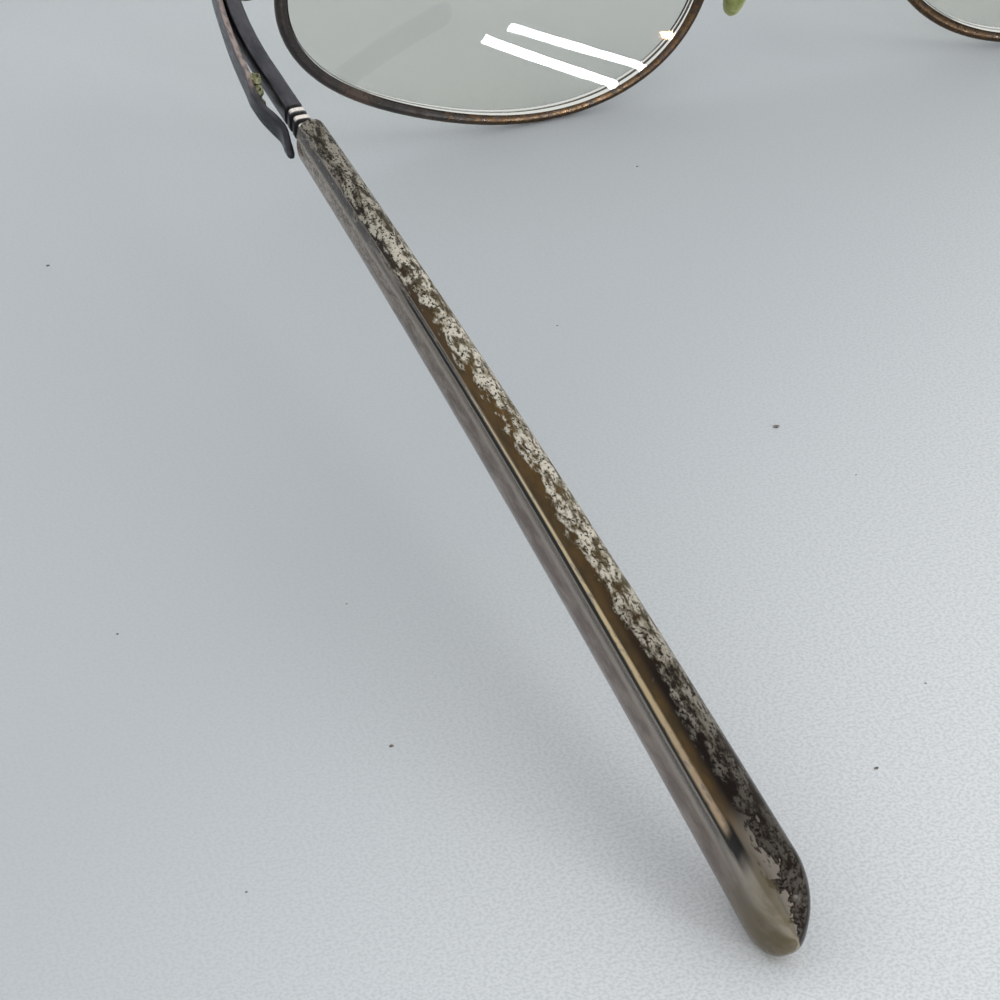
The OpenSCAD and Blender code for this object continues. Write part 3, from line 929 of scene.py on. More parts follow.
@dataclass(frozen=True)
class AgedVinyl:
    """Moulded vinyl of the nose pads, yellowed by skin and green from the metal inside."""

    name: str = "aged_vinyl"
    yellow: str = "#9fa062"
    green: str = "#66733a"
    ior: float = 1.46
    depth: tuple[float, float, float] = (0.9, 1.0, 0.4)
    cloud_size: float = 2.4
    smudge_size: float = 0.6
    # the mould's grain is 0.1 mm across, too fine to show, so it is drawn coarser
    grain_size: float = 0.3

    def make(self) -> bpy.types.Material:
        """Builds the material.

        Returns:
            The material.
        """
        r = Recipe.finish(self.name)
        clouds = r.add(Node.RAMP, r.mottle(self.cloud_size, detail=4.0), 0.36, 0.66)
        r.dress(Base_Color=r.add(Node.BLEND, clouds, self.yellow, self.green), IOR=self.ior,
                Subsurface_Weight=0.5, Subsurface_Radius=tuple(d * MM for d in self.depth),
                Subsurface_Scale=1.0,
                Roughness=r.add(Node.RAMP, r.mottle(self.smudge_size), *CLOUD_RANGE, 0.3, 0.5),
                Normal=r.add(Node.BUMP, r.mottle(self.grain_size), 0.02 * MM, 0.4))
        return r.owner


@dataclass(frozen=True)
class CorrodedSolder:
    """Soft solder turned to olive verdigris: dry, pitted and crumbly, with dark hollows."""

    name: str = "corroded_solder"
    olive: str = "#6e6e4c"
    pale: str = "#a5a786"
    pit: str = "#1b1911"
    crust_size: float = 0.6
    # the crystals are 0.1 mm across, too fine to show, so they are drawn as coarser crumbs
    crumb_size: float = 0.28

    def make(self) -> bpy.types.Material:
        """Builds the material.

        Returns:
            The material.
        """
        r = Recipe.finish(self.name)
        crumbs = r.mottle(self.crumb_size, detail=5.0)
        crust = r.add(Node.RAMP, r.mottle(self.crust_size), 0.4, 0.65)
        crust = r.add(Node.BLEND, crust, self.olive, self.pale)
        pitted = r.add(Node.BLEND, r.add(Node.RAMP, crumbs, 0.5, 0.4), crust, self.pit)
        r.dress(Base_Color=pitted, Roughness=0.85,
                Normal=r.add(Node.BUMP, crumbs, 0.12 * MM, 0.8))
        return r.owner


@dataclass(frozen=True)
class TableLaminate:
    """Pale laminate of the table: matt cool grey with a fine fleck, with painted light brightening one
    side.

    Its painted light goes from pale to bright between the two places near and far, in millimetres.
    """

    name: str = "table_laminate"
    pale: str = "#c2c7ca"
    fleck: str = "#babfc2"
    # painted light: the tone the table is brightened to
    bright: str = "#e9ecee"
    near: tuple[float, float] = (75.0, 0.0)
    far: tuple[float, float] = (28.0, 62.0)
    # the printed fleck is 0.1 mm across, too fine to show, so it is drawn coarser
    fleck_size: float = 0.3

    def make(self) -> bpy.types.Material:
        """Builds the material.

        Returns:
            The material.
        """
        r = Recipe.finish(self.name)
        # a painted pool of light, rising from the near place to the far one
        run = Vector(self.far) - Vector(self.near)
        reach = r.add(Node.REACH, r.add(Node.PLACE), (run.x, run.y, 0.0))
        start = Vector(self.near).dot(run) * MM
        share = r.add(Node.RAMP, reach, start, start + run.length_squared * MM)
        light = r.add(Node.BLEND, share, self.pale, self.bright)
        flecks = r.add(Node.RAMP, r.mottle(self.fleck_size, detail=2.0), 0.4, 0.65, 0.0, 0.5)
        r.dress(Base_Color=r.add(Node.BLEND, flecks, light, self.fleck), Roughness=0.75)
        return r.owner


@dataclass(frozen=True)
class TableDust:
    """Crumbs of dark dust on the table."""

    name: str = "table_dust"
    dark: str = "#4a4640"
    light: str = "#8b857c"
    grain_size: float = 0.2

    def make(self) -> bpy.types.Material:
        """Builds the material.

        Returns:
            The material.
        """
        r = Recipe.finish(self.name)
        grains = r.add(Node.RAMP, r.mottle(self.grain_size), 0.4, 0.6)
        r.dress(Base_Color=r.add(Node.BLEND, grains, self.dark, self.light), Roughness=0.9)
        return r.owner


# ---- the front ----


@dataclass(frozen=True)
class Eye:
    """Outline of one rim on the sphere that the front is bent to."""

    width: float = 52.0
    height: float = 36.6
    wrap: float = 6.1
    lean: float = 6.2
    sphere: float = 106.0
    rim_thick: float = 1.3
    rim_wide: float = 1.6
    groove_deep: float = 0.45
    groove_wide: float = 0.8
    split: float = 14.0
    split_gap: float = 0.9
    lobe: float = 6.8
    slant: float = 3.1
    skew: float = 0.7
    brow_out: float = 29.0
    brow_up: float = 3.3

    def swell(self, a: float) -> float:
        """How far the outline swells at an angle, as a share of its radius.

        Args:
            a: the angle in radians.

        Returns:
            The swollen radius, where 1 is an ellipse.
        """
        brow = max(0.0, math.sin(a)) ** 2 * (self.brow_out * math.cos(a) + self.brow_up)
        return 1 + (self.lobe * math.cos(3 * a) - self.slant * math.sin(2 * a)
                    + self.skew * math.sin(3 * a) + brow) / 100

    def base(self, angle: float) -> Vector:
        """Point of the outline at an angle in degrees, flat.

        Args:
            angle: the angle.

        Returns:
            The point.
        """
        a = math.radians(angle)
        return self.swell(a) * Vector(((self.width + self.rim_thick) / 2 * math.cos(a),
                                       (self.height + self.rim_thick) / 2 * math.sin(a)))

    def outline(self, angle: float, out: float) -> Vector:
        """Point of the outline moved outwards across the rim, flat."""
        t = (self.base(angle + 0.5) - self.base(angle - 0.5)).normalized()
        return self.base(angle) + out * Vector((t.y, -t.x))

    def sag(self, flat: Vector) -> float:
        """Depth of the sphere behind its pole at a flat point."""
        return self.sphere - math.sqrt(self.sphere**2 - flat.length_squared)

    def turned(self, point: Vector) -> Vector:
        """Leans and wraps a point of the eye, about the eye's own middle."""
        lean = Matrix.Rotation(math.radians(self.lean), 3, "X")
        return Matrix.Rotation(math.radians(self.wrap), 3, "Z") @ (lean @ point)

    def middle(self) -> Vector:
        """The eye's middle in the row frame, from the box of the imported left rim.

        Returns:
            The point that every other point of the eye is counted from.
        """
        reach = [self.turned(self.at(angle, self.rim_thick / 2, back)) for angle in range(360)
                 for back in (-self.rim_wide / 2, 0.0, self.rim_wide / 2)]
        low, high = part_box("rim_left")
        return Vector([(low[k] + high[k]) / (2 * MM)
                       - (min(p[k] for p in reach) + max(p[k] for p in reach)) / 2
                       for k in (0, 1)] + [low.z / MM - min(p.z for p in reach)])

    def at(self, angle: float, out: float, back: float) -> Vector:
        """Point of the rim in the eye's own frame: out across the rim, back along its width."""
        flat = self.outline(angle, out)
        return Vector((flat.x, self.sag(flat) + back, flat.y))

    def stations(self, count: int) -> list[float]:
        """Angles round the eye from one side of the split to the other."""
        start, turn = self.split + self.split_gap / 2, 360 - self.split_gap
        return [start + turn * i / count for i in range(count + 1)]


@dataclass(frozen=True)
class Front:
    """Both rims with their lenses, and the bridge between them."""

    enamel: bpy.types.Material
    resin: bpy.types.Material
    eye: Eye = Eye()
    rim_stations: int = 260
    lens_fit: float = 0.09
    lens_front: float = -0.95
    lens_thick: float = 1.1
    lens_across: float = 95.0
    lens_upright: float = 62.0
    lens_chamfer: float = 0.06
    lens_shoulder: float = 0.3
    lens_rings: int = 26
    lens_spokes: int = 180
    bridge_angle: float = 150.0
    bridge_high: float = 2.4
    bridge_thick: float = 1.5
    bridge_rise: float = 2.6
    bridge_forward: float = 1.8
    bridge_flare: float = 0.22
    nick_angle: float = 262.0
    nick_deep: float = 0.13

    def build(self) -> None:
        """Builds every piece of the front that holds the lenses."""
        for side in Side:
            self.rim(side)
            self.lens(side)
        self.bridge()

    def rub(self, angle: float) -> float:
        """Share of the enamel that is rubbed off: most at the lower nasal side, none at the top."""
        low = eased(318, 268, angle) * eased(150, 205, angle)
        return 0.12 + 0.88 * low

    def rim_section(self) -> Section:
        """Section of the rim wire: outwards and back, round outside and grooved inside.

        Returns:
            Pairs of outwards and back.
        """
        e = self.eye
        outer = [(e.rim_thick / 2 * math.cos(b), e.rim_wide / 2 * math.sin(b))
                 for b in (math.radians(-90 + 10 * i) for i in range(19))]
        lip, inside = e.groove_wide / 2, -e.rim_thick / 2
        shoulder = [(-0.3 * e.rim_thick, 0.48 * e.rim_wide), (inside, 0.4 * e.rim_wide), (inside, lip),
                    (inside + e.groove_deep, lip)]
        return outer + shoulder + [(x, -y) for x, y in reversed(shoulder)]

    def rim(self, side: Side) -> bpy.types.Object:
        """Builds a grooved rim wire, open at its split, with its nicks and worn stretches.

        Args:
            side: left or right.

        Returns:
            The piece.
        """
        skin = Skin(side.of("rim_wire"), side)
        middle = self.eye.middle()
        for angle in self.eye.stations(self.rim_stations):
            nick = self.nick_deep * math.exp(-((angle - self.nick_angle) / 0.8) ** 2)
            ring = []
            for out, back in self.rim_section():
                shave = 1 - nick / self.eye.rim_thick * (out > 0)
                point = middle + self.eye.turned(self.eye.at(angle, out * shave, back))
                ring.append(point + Vector((0, 0.012 * ripple(point, 1.7), 0)))
            skin.add(ring, wear=min(1.0, self.rub(angle) + nick * 4))
        return settle(skin.make(50), Body.FRONT, [side.of("rim")], self.enamel)

    def lens_back(self, flat: Vector) -> float:
        """Depth of the lens's back face, which is curved more upright than across.

        Args:
            flat: a flat point.

        Returns:
            The depth.
        """
        depth = self.lens_front + self.lens_thick
        for size, radius in ((flat.x, self.lens_across), (flat.y, self.lens_upright)):
            depth += radius - math.sqrt(radius**2 - size**2)
        return depth

    def lens(self, side: Side) -> bpy.types.Object:
        """Builds a lens: a domed front, a steeper back, and a bevel in the rim's groove.

        Args:
            side: left or right.

        Returns:
            The piece.
        """
        skin = Skin(side.of("lens_blank"), side)
        middle, e = self.eye.middle(), self.eye
        spokes = [e.split + 360 * i / self.lens_spokes for i in range(self.lens_spokes)]
        face_out = -e.rim_thick / 2 - self.lens_fit
        apex_out = face_out + e.groove_deep - 0.08
        chamfer, shoulder = self.lens_chamfer, self.lens_shoulder

        def front(flat: Vector) -> float:
            """Depth of the lens's front face."""
            return e.sag(flat) + self.lens_front

        def lay(share: float, out: float, depth: Callable[[Vector], float]) -> None:
            """Adds a ring of the lens.

            Args:
                share: its size, as a share of the outline.
                out: how far the outline is moved outwards.
                depth: gives the depth at a flat point.
            """
            flats = [e.outline(a, out) * share for a in spokes]
            skin.add([middle + e.turned(Vector((f.x, depth(f), f.y))) for f in flats])

        shares = [(i + 0.02) / self.lens_rings for i in range(self.lens_rings + 1)]
        for share in shares[:-1]:
            lay(share, face_out, front)
        lay(1.0, face_out - 0.02, front)
        lay(1.0, face_out, lambda f: front(f) + chamfer)
        lay(1.0, face_out, lambda f: e.sag(f) - shoulder)
        lay(1.0, apex_out, lambda f: e.sag(f) - chamfer)
        lay(1.0, apex_out, lambda f: e.sag(f) + chamfer)
        lay(1.0, face_out, lambda f: e.sag(f) + shoulder)
        lay(1.0, face_out, lambda f: max(self.lens_back(f) - chamfer, e.sag(f) + shoulder + 0.02))
        lay(1.0, face_out - 0.03, self.lens_back)
        for share in reversed(shares[:-1]):
            lay(share, face_out, self.lens_back)
        return settle(skin.make(25), Body.FRONT, [side.of("lens")], self.resin)

    def bridge(self) -> bpy.types.Object:
        """Builds the arched bridge bar, flared where it is brazed to the rims.

        Returns:
            The piece.
        """
        end = self.eye.middle() + self.eye.turned(self.eye.at(self.bridge_angle, 0.3, 0.0))
        skin = Skin("bridge_bar")
        steps = 60
        for i in range(steps + 1):
            t = 2 * i / steps - 1
            k = 1 - t * t
            flare = 1 + self.bridge_flare * abs(t) ** 14
            slope = math.atan2(-2 * t * self.bridge_rise, end.x)
            yaw = math.atan2(2 * t * self.bridge_forward, end.x)
            ring = [Vector((end.x * t - p * math.sin(yaw) - q * math.sin(slope),
                            end.y - self.bridge_forward * k + p * math.cos(yaw),
                            end.z + self.bridge_rise * k + q * math.cos(slope)))
                    for p, q in oval(self.bridge_thick * flare, self.bridge_high * flare, 3, 28)]
            skin.add(ring, wear=0.25 * k)
        return settle(skin.make(), Body.FRONT, ["bridge"], self.enamel)


@dataclass(frozen=True)
class NosePads:
    """The two pads with their tabs, boxes, screws and the arms that carry them."""

    enamel: bpy.types.Material
    nickel: bpy.types.Material
    steel: bpy.types.Material
    vinyl: bpy.types.Material
    eye: Eye = Eye()
    long: float = 14.0
    wide: float = 7.4
    thick: float = 2.8
    splay: float = 27.0
    flare: float = 12.0
    pivot_out: float = 1.9
    box_end: float = 3.2
    arm_loop: float = 2.6
    arm_radius: float = 0.5
    root_angle: float = 196.0
    # the pad's size from its flat back to the top of its dome, at shares of its thickness
    swell: Stops = ((0.0, 0.02), (0.004, 0.7), (0.06, 0.86), (0.2, 0.96), (0.42, 1.0), (0.62, 0.96),
                    (0.8, 0.84), (0.92, 0.64), (0.985, 0.36), (1.0, 0.03))
    edge: float = 0.07

    def build(self) -> None:
        """Builds both pads and what carries them."""
        for side in Side:
            self.pad(side)
            self.arm(side)
            settle(eased_copy(side.of("pad_tab"), side.of("tab_stamping"), self.edge),
                   Body.pad(side), [side.of("pad_tab")], self.nickel)
            settle(eased_copy(side.of("pad_box"), side.of("box_clip"), self.edge),
                   Body.FRONT, [side.of("pad_box")], self.enamel)
        settle(eased_copy("pad_screws", "pad_screw_pair", 0.04), Body.FRONT, ["pad_screws"],
               self.steel)

    def place(self, point: Vector) -> Vector:
        """Puts a point of the left pad's own frame in the row frame, from the pad's joint.

        Args:
            point: outwards from the face, along the nose, and up.

        Returns:
            The point in the row frame.
        """
        joint = next(j for j in frame["joints"] if j["name"] == "rock_left")
        turn = (Matrix.Rotation(math.radians(-self.splay), 3, "Z")
                @ Matrix.Rotation(math.radians(-self.flare), 3, "Y"))
        return Vector(joint["pos_m"]) / MM + turn @ (point - Vector((self.pivot_out, 0, 0)))

    def pad(self, side: Side) -> bpy.types.Object:
        """Builds a teardrop pad with a rolled back edge and a domed face.

        Args:
            side: left or right.

        Returns:
            The piece.
        """
        skin = Skin(side.of("pad_moulding"), side)
        for i in range(37):
            t = (1 - math.cos(math.pi * i / 36)) / 2
            share = flowing(self.swell, t)
            skin.add([self.place(Vector((-self.thick * t, p * (1 - 0.16 * q / self.long), q)))
                      for p, q in oval(self.wide * share, self.long * share, 2.3, 40)])
        return settle(skin.make(60), Body.pad(side), [side.of("nose_pad")], self.vinyl)

    def arm(self, side: Side) -> bpy.types.Object:
        """Builds a bent arm of round wire, brazed behind the rim and into the box.

        Args:
            side: left or right.

        Returns:
            The piece.
        """
        skin = Skin(side.of("arm_wire"), side)
        behind = self.eye.rim_wide / 2 + self.arm_radius - 0.12
        root = self.eye.middle() + self.eye.turned(self.eye.at(self.root_angle, 0.0, behind))
        loop = self.place(Vector((self.box_end + self.arm_loop, 0, 0)))
        end = self.place(Vector((self.box_end - 0.1, 0, 0)))
        steps = 44
        for i in range(steps + 1):
            t = i / steps
            centre = (1 - t) ** 2 * root + 2 * t * (1 - t) * loop + t * t * end
            along = ((1 - t) * (loop - root) + t * (end - loop)).normalized()
            across = along.cross(Vector((0, 0, 1))).normalized()
            up = across.cross(along)
            radius = self.arm_radius * (1 + 0.4 * math.exp(-t / 0.05))
            skin.add([centre + radius * (math.cos(a) * across + math.sin(a) * up)
                      for a in (math.tau * k / 20 for k in range(20))], wear=0.3)
        return settle(skin.make(), Body.FRONT, [side.of("pad_arm")], self.enamel)


@dataclass(frozen=True)
class Joinery:
    """End pieces, closing blocks, hinges and their screws."""

    enamel: bpy.types.Material
    nickel: bpy.types.Material
    steel: bpy.types.Material
    enamel_edge: float = 0.16
    machined_edge: float = 0.08
    screw_edge: float = 0.06

    def build(self) -> None:
        """Rounds the edges of every joining part and dresses it."""
        for side in Side:
            for node, name, body, slot, material, edge in (
                ("end_piece", "end_forging", Body.FRONT, Slot.ENAMEL, self.enamel, self.enamel_edge),
                ("lock_block", "closing_block", Body.FRONT, Slot.ENAMEL, self.enamel,
                 self.enamel_edge),
                ("hinge_front", "front_leaf", Body.FRONT, Slot.HINGE, self.nickel,
                 self.machined_edge),
                ("hinge_temple", "temple_leaf", Body.temple(side), Slot.HINGE, self.nickel,
                 self.machined_edge),
            ):
                settle(eased_copy(side.of(node), side.of(name), edge), body, [side.of(node)],
                       material)
        for node, name in (("rim_screws", "rim_screw_pair"), ("hinge_screws", "hinge_screw_pair")):
            settle(eased_copy(node, name, self.screw_edge), Body.FRONT, [node],
                   self.steel)


# ---- the temples ----


@dataclass(frozen=True)
class TempleLine:
    """The line that a temple follows; places on it are distances behind the hinge pin."""

    length: float = 133.2
    tip_gap: float = 127.6
    elbow_in: float = 2.3
    elbow_long: float = 19.0
    arch: float = 1.25
    bow: float = 0.5
    bar_wide: float = 1.8
    barrel: float = 1.2
    start: float = 0.25
    rests_at: float = 0.963
    mouth: float = 31.5
    mouth_wide: float = 2.95
    mouth_high: float = 4.75
    tip_wide: float = 4.25
    tip_high: float = 10.0

    def pin(self) -> Vector:
        """The left hinge pin, from its joint."""
        return Vector(next(j for j in frame["joints"] if j["name"] == "fold_left")["pos_m"]) / MM

    def sleeve_size(self, d: float) -> tuple[float, float]:
        """Width and height of the sleeve at a place.

        Args:
            d: the place.

        Returns:
            Both sizes.
        """
        share = (d - self.mouth) / (self.length - self.mouth)
        return (self.mouth_wide + (self.tip_wide - self.mouth_wide) * share,
                self.mouth_high + (self.tip_high - self.mouth_high) * share)

    def sway(self, d: float) -> float:
        """How far the elbow and the bow take the line inwards.

        Args:
            d: the place.

        Returns:
            The distance.
        """
        s = d / self.length
        elbow = self.elbow_in * max(0.0, (self.elbow_long - d) / self.elbow_long) ** 2
        return 4 * self.bow * s * (1 - s) + elbow

    def point(self, d: float) -> Vector:
        """The line at a place.

        Args:
            d: the place.

        Returns:
            Its point in the row frame.
        """
        pin, s, s0 = self.pin(), d / self.length, self.start / self.length
        bar_x = pin.x + self.barrel + self.bar_wide / 2
        front_x = (bar_x + self.sway(self.start) - self.tip_gap / 2 * s0) / (1 - s0)
        rest = self.rests_at
        rise = 4 * self.arch * rest * (1 - rest)
        tip_z = pin.z + (self.sleeve_size(rest * self.length)[1] / 2 - pin.z - rise) / rest
        return Vector((front_x + (self.tip_gap / 2 - front_x) * s - self.sway(d), pin.y + d,
                       pin.z + (tip_z - pin.z) * s + 4 * self.arch * s * (1 - s)))

    def ring(self, d: float, section: Section) -> Ring:
        """Puts a section on the line, square to it.

        Args:
            d: the place.
            section: pairs of outwards and upwards.

        Returns:
            The points.
        """
        along = self.point(d + 0.5) - self.point(d - 0.5)
        out = Vector((along.y, -along.x, 0)).normalized()
        up = Vector((0, -along.z, along.y)).normalized()
        return [self.point(d) + p * out + q * up for p, q in section]


@dataclass(frozen=True)
class Temple:
    """One temple: its wire, its outer plate and its sleeve, with failed solder on the left one."""

    side: Side
    gunmetal: bpy.types.Material
    acetate: bpy.types.Material
    solder: bpy.types.Material
    line: TempleLine = TempleLine()
    bar_high: float = 2.4
    core_wide: float = 1.2
    core_high: float = 1.6
    core_short: float = 9.5
    point_long: float = 3.0
    neck_long: float = 4.0
    ring_count: int = 3
    ring_pitch: float = 1.35
    ring_clear: float = 0.6
    ring_deep_out: float = 0.34
    ring_deep_up: float = 0.18
    tip_round: float = 4.5
    sink: float = 0.02
    plate_thick: float = 0.7
    plate_from: float = 2.5
    plate_end: float = 31.8
    plate_clear: float = 0.08
    # the plate's shape, at shares of its length: how far it has sprung off as a share of sprung, how
    # far it drops and its height
    sprung: float = 1.3
    plate_away: Stops = ((0, 0), (0.1, 0.02), (0.2, 0.08), (0.37, 0.3), (0.6, 0.74), (0.7, 1.0),
                         (0.77, 0.88), (0.84, 0.55), (0.92, 0.2), (0.97, 0.05), (1, 0))
    plate_drop: Stops = ((0, 0), (0.37, 0), (0.6, 0.05), (0.7, 0.2), (0.77, 0.5), (0.84, 0.62),
                         (0.92, 0.8), (0.97, 1.1), (1, 1.45))
    plate_high: Stops = ((0, 3.1), (0.1, 2.9), (0.2, 2.6), (0.6, 2.6), (0.7, 2.1), (0.77, 1.95),
                         (0.84, 2.2), (0.92, 1.9), (0.97, 1.2), (1, 0.35))
    sleeve_clear: float = 0.12
    # each bead's place on the line and its height above it
    bead_places: Stops = ((21.4, 0.9), (22.2, 0.05), (22.9, -0.85))
    bead: float = 0.62

    def build(self) -> None:
        """Builds the temple's pieces."""
        self.wire()
        self.sleeve()
        self.plate()
        if self.side is Side.LEFT:
            self.beads()

    def wire_size(self, d: float) -> tuple[float, float]:
        """Width and height of the wire at a place: flat bar, turned rings, neck, core and point.

        Args:
            d: the place.

        Returns:
            Both sizes.
        """
        line, collar_to = self.line, self.line.mouth - self.ring_clear
        collar_from = collar_to - self.ring_count * self.ring_pitch
        core_end = line.length - self.core_short
        bar = Vector((line.bar_wide, self.bar_high))
        core = Vector((self.core_wide, self.core_high))
        neck_end = line.mouth + self.neck_long
        if d <= collar_from:
            return tuple(bar)
        if d <= collar_to:
            phase = ((d - collar_from) % self.ring_pitch) / self.ring_pitch
            dip = eased(0.0, 0.14, phase) * eased(0.6, 0.42, phase)
            return (line.bar_wide * (1 - self.ring_deep_out * dip),
                    self.bar_high * (1 - self.ring_deep_up * dip))
        if d <= neck_end:
            step = bar.lerp(0.75 * bar, eased(collar_to, collar_to + 0.3, d))
            return tuple(step.lerp(core, max(0.0, d - collar_to - 0.3) / (neck_end - collar_to - 0.3)))
        if d <= core_end - self.point_long:
            return tuple(core)
        share = (core_end - d) / self.point_long
        return tuple(core * max(0.1, math.sqrt(max(0.0, 1 - (1 - share) ** 2))))

    def gleam(self, d: float, out: float, up: float, turned: bool, dip: float) -> float:
        """Share of painted highlight at a point of the wire.

        Args:
            d: the point's place.
            out: how far outwards it lies in its section, from -1 to 1.
            up: how far up it lies, from -1 to 1.
            turned: whether it is on the turned rings.
            dip: how deep it lies in a groove, from 0 to 1.

        Returns:
            A share from 0 to 1: on the crests of the rings, and along the core's upper outer edge,
            in a band that widens towards the point.
        """
        if turned:
            return eased(0.1, 0.0, dip) * eased(0.7, 0.95, up)
        share = (d - self.line.mouth) / (self.line.length - self.core_short - self.line.mouth)
        if share < 0:
            return 0.0
        band = 0.5 + 1.1 * eased(0.4, 1.0, share)
        fade = eased(0.2, 0.34, share) * eased(1.0, 0.96, share)
        return fade * eased(0.35, 0.7, up) * eased(1 - band - 0.2, 1 - band + 0.1, out)

    def wire(self) -> bpy.types.Object:
        """Builds the one-piece wire, plated to the mouth of its sleeve and bare brass inside it.

        Returns:
            The piece.
        """
        skin = Skin(self.side.of("temple_wire_drawn"), self.side)
        line, collar_to = self.line, self.line.mouth - self.ring_clear
        collar_from = collar_to - self.ring_count * self.ring_pitch
        core_end = line.length - self.core_short
        places = [line.start + 0.03] + [line.start + 0.15 + 0.55 * i for i in range(38)]
        places = [p for p in places if p < collar_from]
        # closely spaced over the turned rings, wider on the neck and the core
        fine = 0.06
        places += [collar_from + fine * i
                   for i in range(int((collar_to + 0.4 - collar_from) / fine))]
        places += [collar_to + 0.5 + 0.35 * i for i in range(14)]
        tail = core_end - self.point_long
        places += [places[-1] + (tail - places[-1]) * i / 90 for i in range(1, 91)]
        places += [tail + self.point_long * math.sin(math.pi / 2 * i / 14) for i in range(1, 15)]
        butt = [line.point(line.start) + Vector((0.92 * p, 0, 0.95 * q))
                for p, q in oval(line.bar_wide, self.bar_high, 4, 32)]
        # the butt end: rubbed edges and a little grime with painted shade
        skin.add(butt, edge=0.4, bare=0.0, groove=0.2, gleam=0.0)
        for d in places:
            wide, high = self.wire_size(d)
            section = oval(wide, high, 4, 32)
            turned = collar_from < d < collar_to + 0.6
            dip = max(0.0, 1 - wide / line.bar_wide) / self.ring_deep_out if turned else 0.0
            bare = eased(line.mouth - 0.2, line.mouth + 1.0, d)
            # grime with painted shade in the ring grooves, rubbed corners, and the painted highlight
            skin.add(line.ring(d, section), bare=bare, groove=min(1.0, 1.3 * dip),
                     edge=[0.5 * (1 - bare) * eased(0.6, 0.95, abs(p) / wide + abs(q) / high - 0.25)
                           for p, q in section],
                     gleam=[self.gleam(d, 2 * p / wide, 2 * q / high, turned, dip)
                            for p, q in section])
        return settle(skin.make(35), Body.temple(self.side), [self.side.of("temple_wire")],
                      self.gunmetal)

    def sleeve(self) -> bpy.types.Object:
        """Builds the moulded sleeve, from its rounded end to its lip, and the channel inside it.

        Returns:
            The piece.
        """
        skin = Skin(self.side.of("sleeve_moulding"), self.side)
        line, points = self.line, 56
        rounded = line.length - self.tip_round

        def outside(d: float, share: float) -> None:
            """Adds a ring of the sleeve's outside.

            Args:
                d: its place.
                share: its size, as a share of the full section.
            """
            wide, high = line.sleeve_size(d)
            section = oval(wide * share, high * share, 2.6, points)
            ring = line.ring(d, section)
            skin.add([p + 0.02 * ripple(p, 3.0) * Vector((1, 0, 1)) for p in ring],
                     top=[2 * q / (high * share) for _, q in section],
                     inner=[-2 * p / (wide * share) for p, _ in section],
                     along=(d - line.mouth) / (line.length - line.mouth))

        def channel(d: float, room: float) -> None:
            """Adds a ring of the channel that the core lies in.

            Args:
                d: its place.
                room: how far it stands off the wire; below 0 it bites into the wire.
            """
            wide, high = self.wire_size(d)
            skin.add(line.ring(d, oval(wide + 2 * room, high + 2 * room, 4, points)), top=-1.0,
                     inner=-1.0, along=(d - line.mouth) / (line.length - line.mouth))

        for i in range(1, 19):
            a = math.pi / 2 * i / 18
            outside(rounded + self.tip_round * math.cos(a), max(0.02, math.sin(a)))
        steps = 150
        for i in range(1, steps + 1):
            outside(rounded - (rounded - line.mouth - 0.5) * i / steps, 1.0)
        for a in (25, 50, 75, 90):
            lip = math.radians(a)
            outside(line.mouth + 0.5 * (1 - math.sin(lip)), 1 - 0.1 * (1 - math.cos(lip)))
        channel(line.mouth, 0.06)
        channel(line.mouth + 0.4, 0.05)
        core_end = line.length - self.core_short
        reach = core_end - self.point_long - line.mouth - 0.8
        for i in range(61):
            channel(line.mouth + 0.8 + reach * i / 60, -self.sink)
        for i in range(1, 9):
            channel(core_end - self.point_long * (1 - math.sin(math.pi / 2 * i / 8)) - 0.02 * i / 8,
                    -self.sink)
        return settle(skin.make(40), Body.temple(self.side), [self.side.of("temple_sleeve")],
                      self.acetate)

    def plate_place(self, share: float) -> tuple[float, float, float, float]:
        """Where the plate runs.

        Args:
            share: share of its length, from the hinge.

        Returns:
            Its place, how far it stands off the line, how far it drops, and its height.
        """
        line = self.line
        loose = self.sprung if self.side is Side.LEFT else 0.0
        away = flowing(self.plate_away, share)
        drop = flowing(self.plate_drop, share)
        high = flowing(self.plate_high, share)
        d = self.plate_from + share * (self.plate_end - self.plate_from)
        off = (line.bar_wide + self.plate_thick) / 2 + self.plate_clear + away * loose
        beside_sleeve = (line.mouth_wide + self.plate_thick) / 2 + self.sleeve_clear
        clear = eased(line.mouth - 3.6, line.mouth - 0.6, d)
        return d, max(off, off + (beside_sleeve - off) * clear), drop, high

    def plate(self) -> bpy.types.Object:
        """Builds the thin outer plate, with its pointed tail.

        Returns:
            The piece.
        """
        skin = Skin(self.side.of("plate_stamping"), self.side)
        steps = 110
        for i in range(steps + 1):
            d, off, drop, high = self.plate_place(i / steps)
            section = oval(self.plate_thick * (1 if i < steps else 0.6), high, 5, 28)
            # a painted highlight along the plate's top edge, fading towards the tail
            fade = eased(0.75, 0.6, i / steps)
            skin.add(self.line.ring(d, [(p + off, q - drop) for p, q in section]),
                     edge=[fade * eased(0.85, 1.0, q / (high / 2)) for _, q in section],
                     bare=0.0, groove=0.0, gleam=0.0)
        return settle(skin.make(35), Body.temple(self.side), [self.side.of("temple_plate")],
                      self.gunmetal)

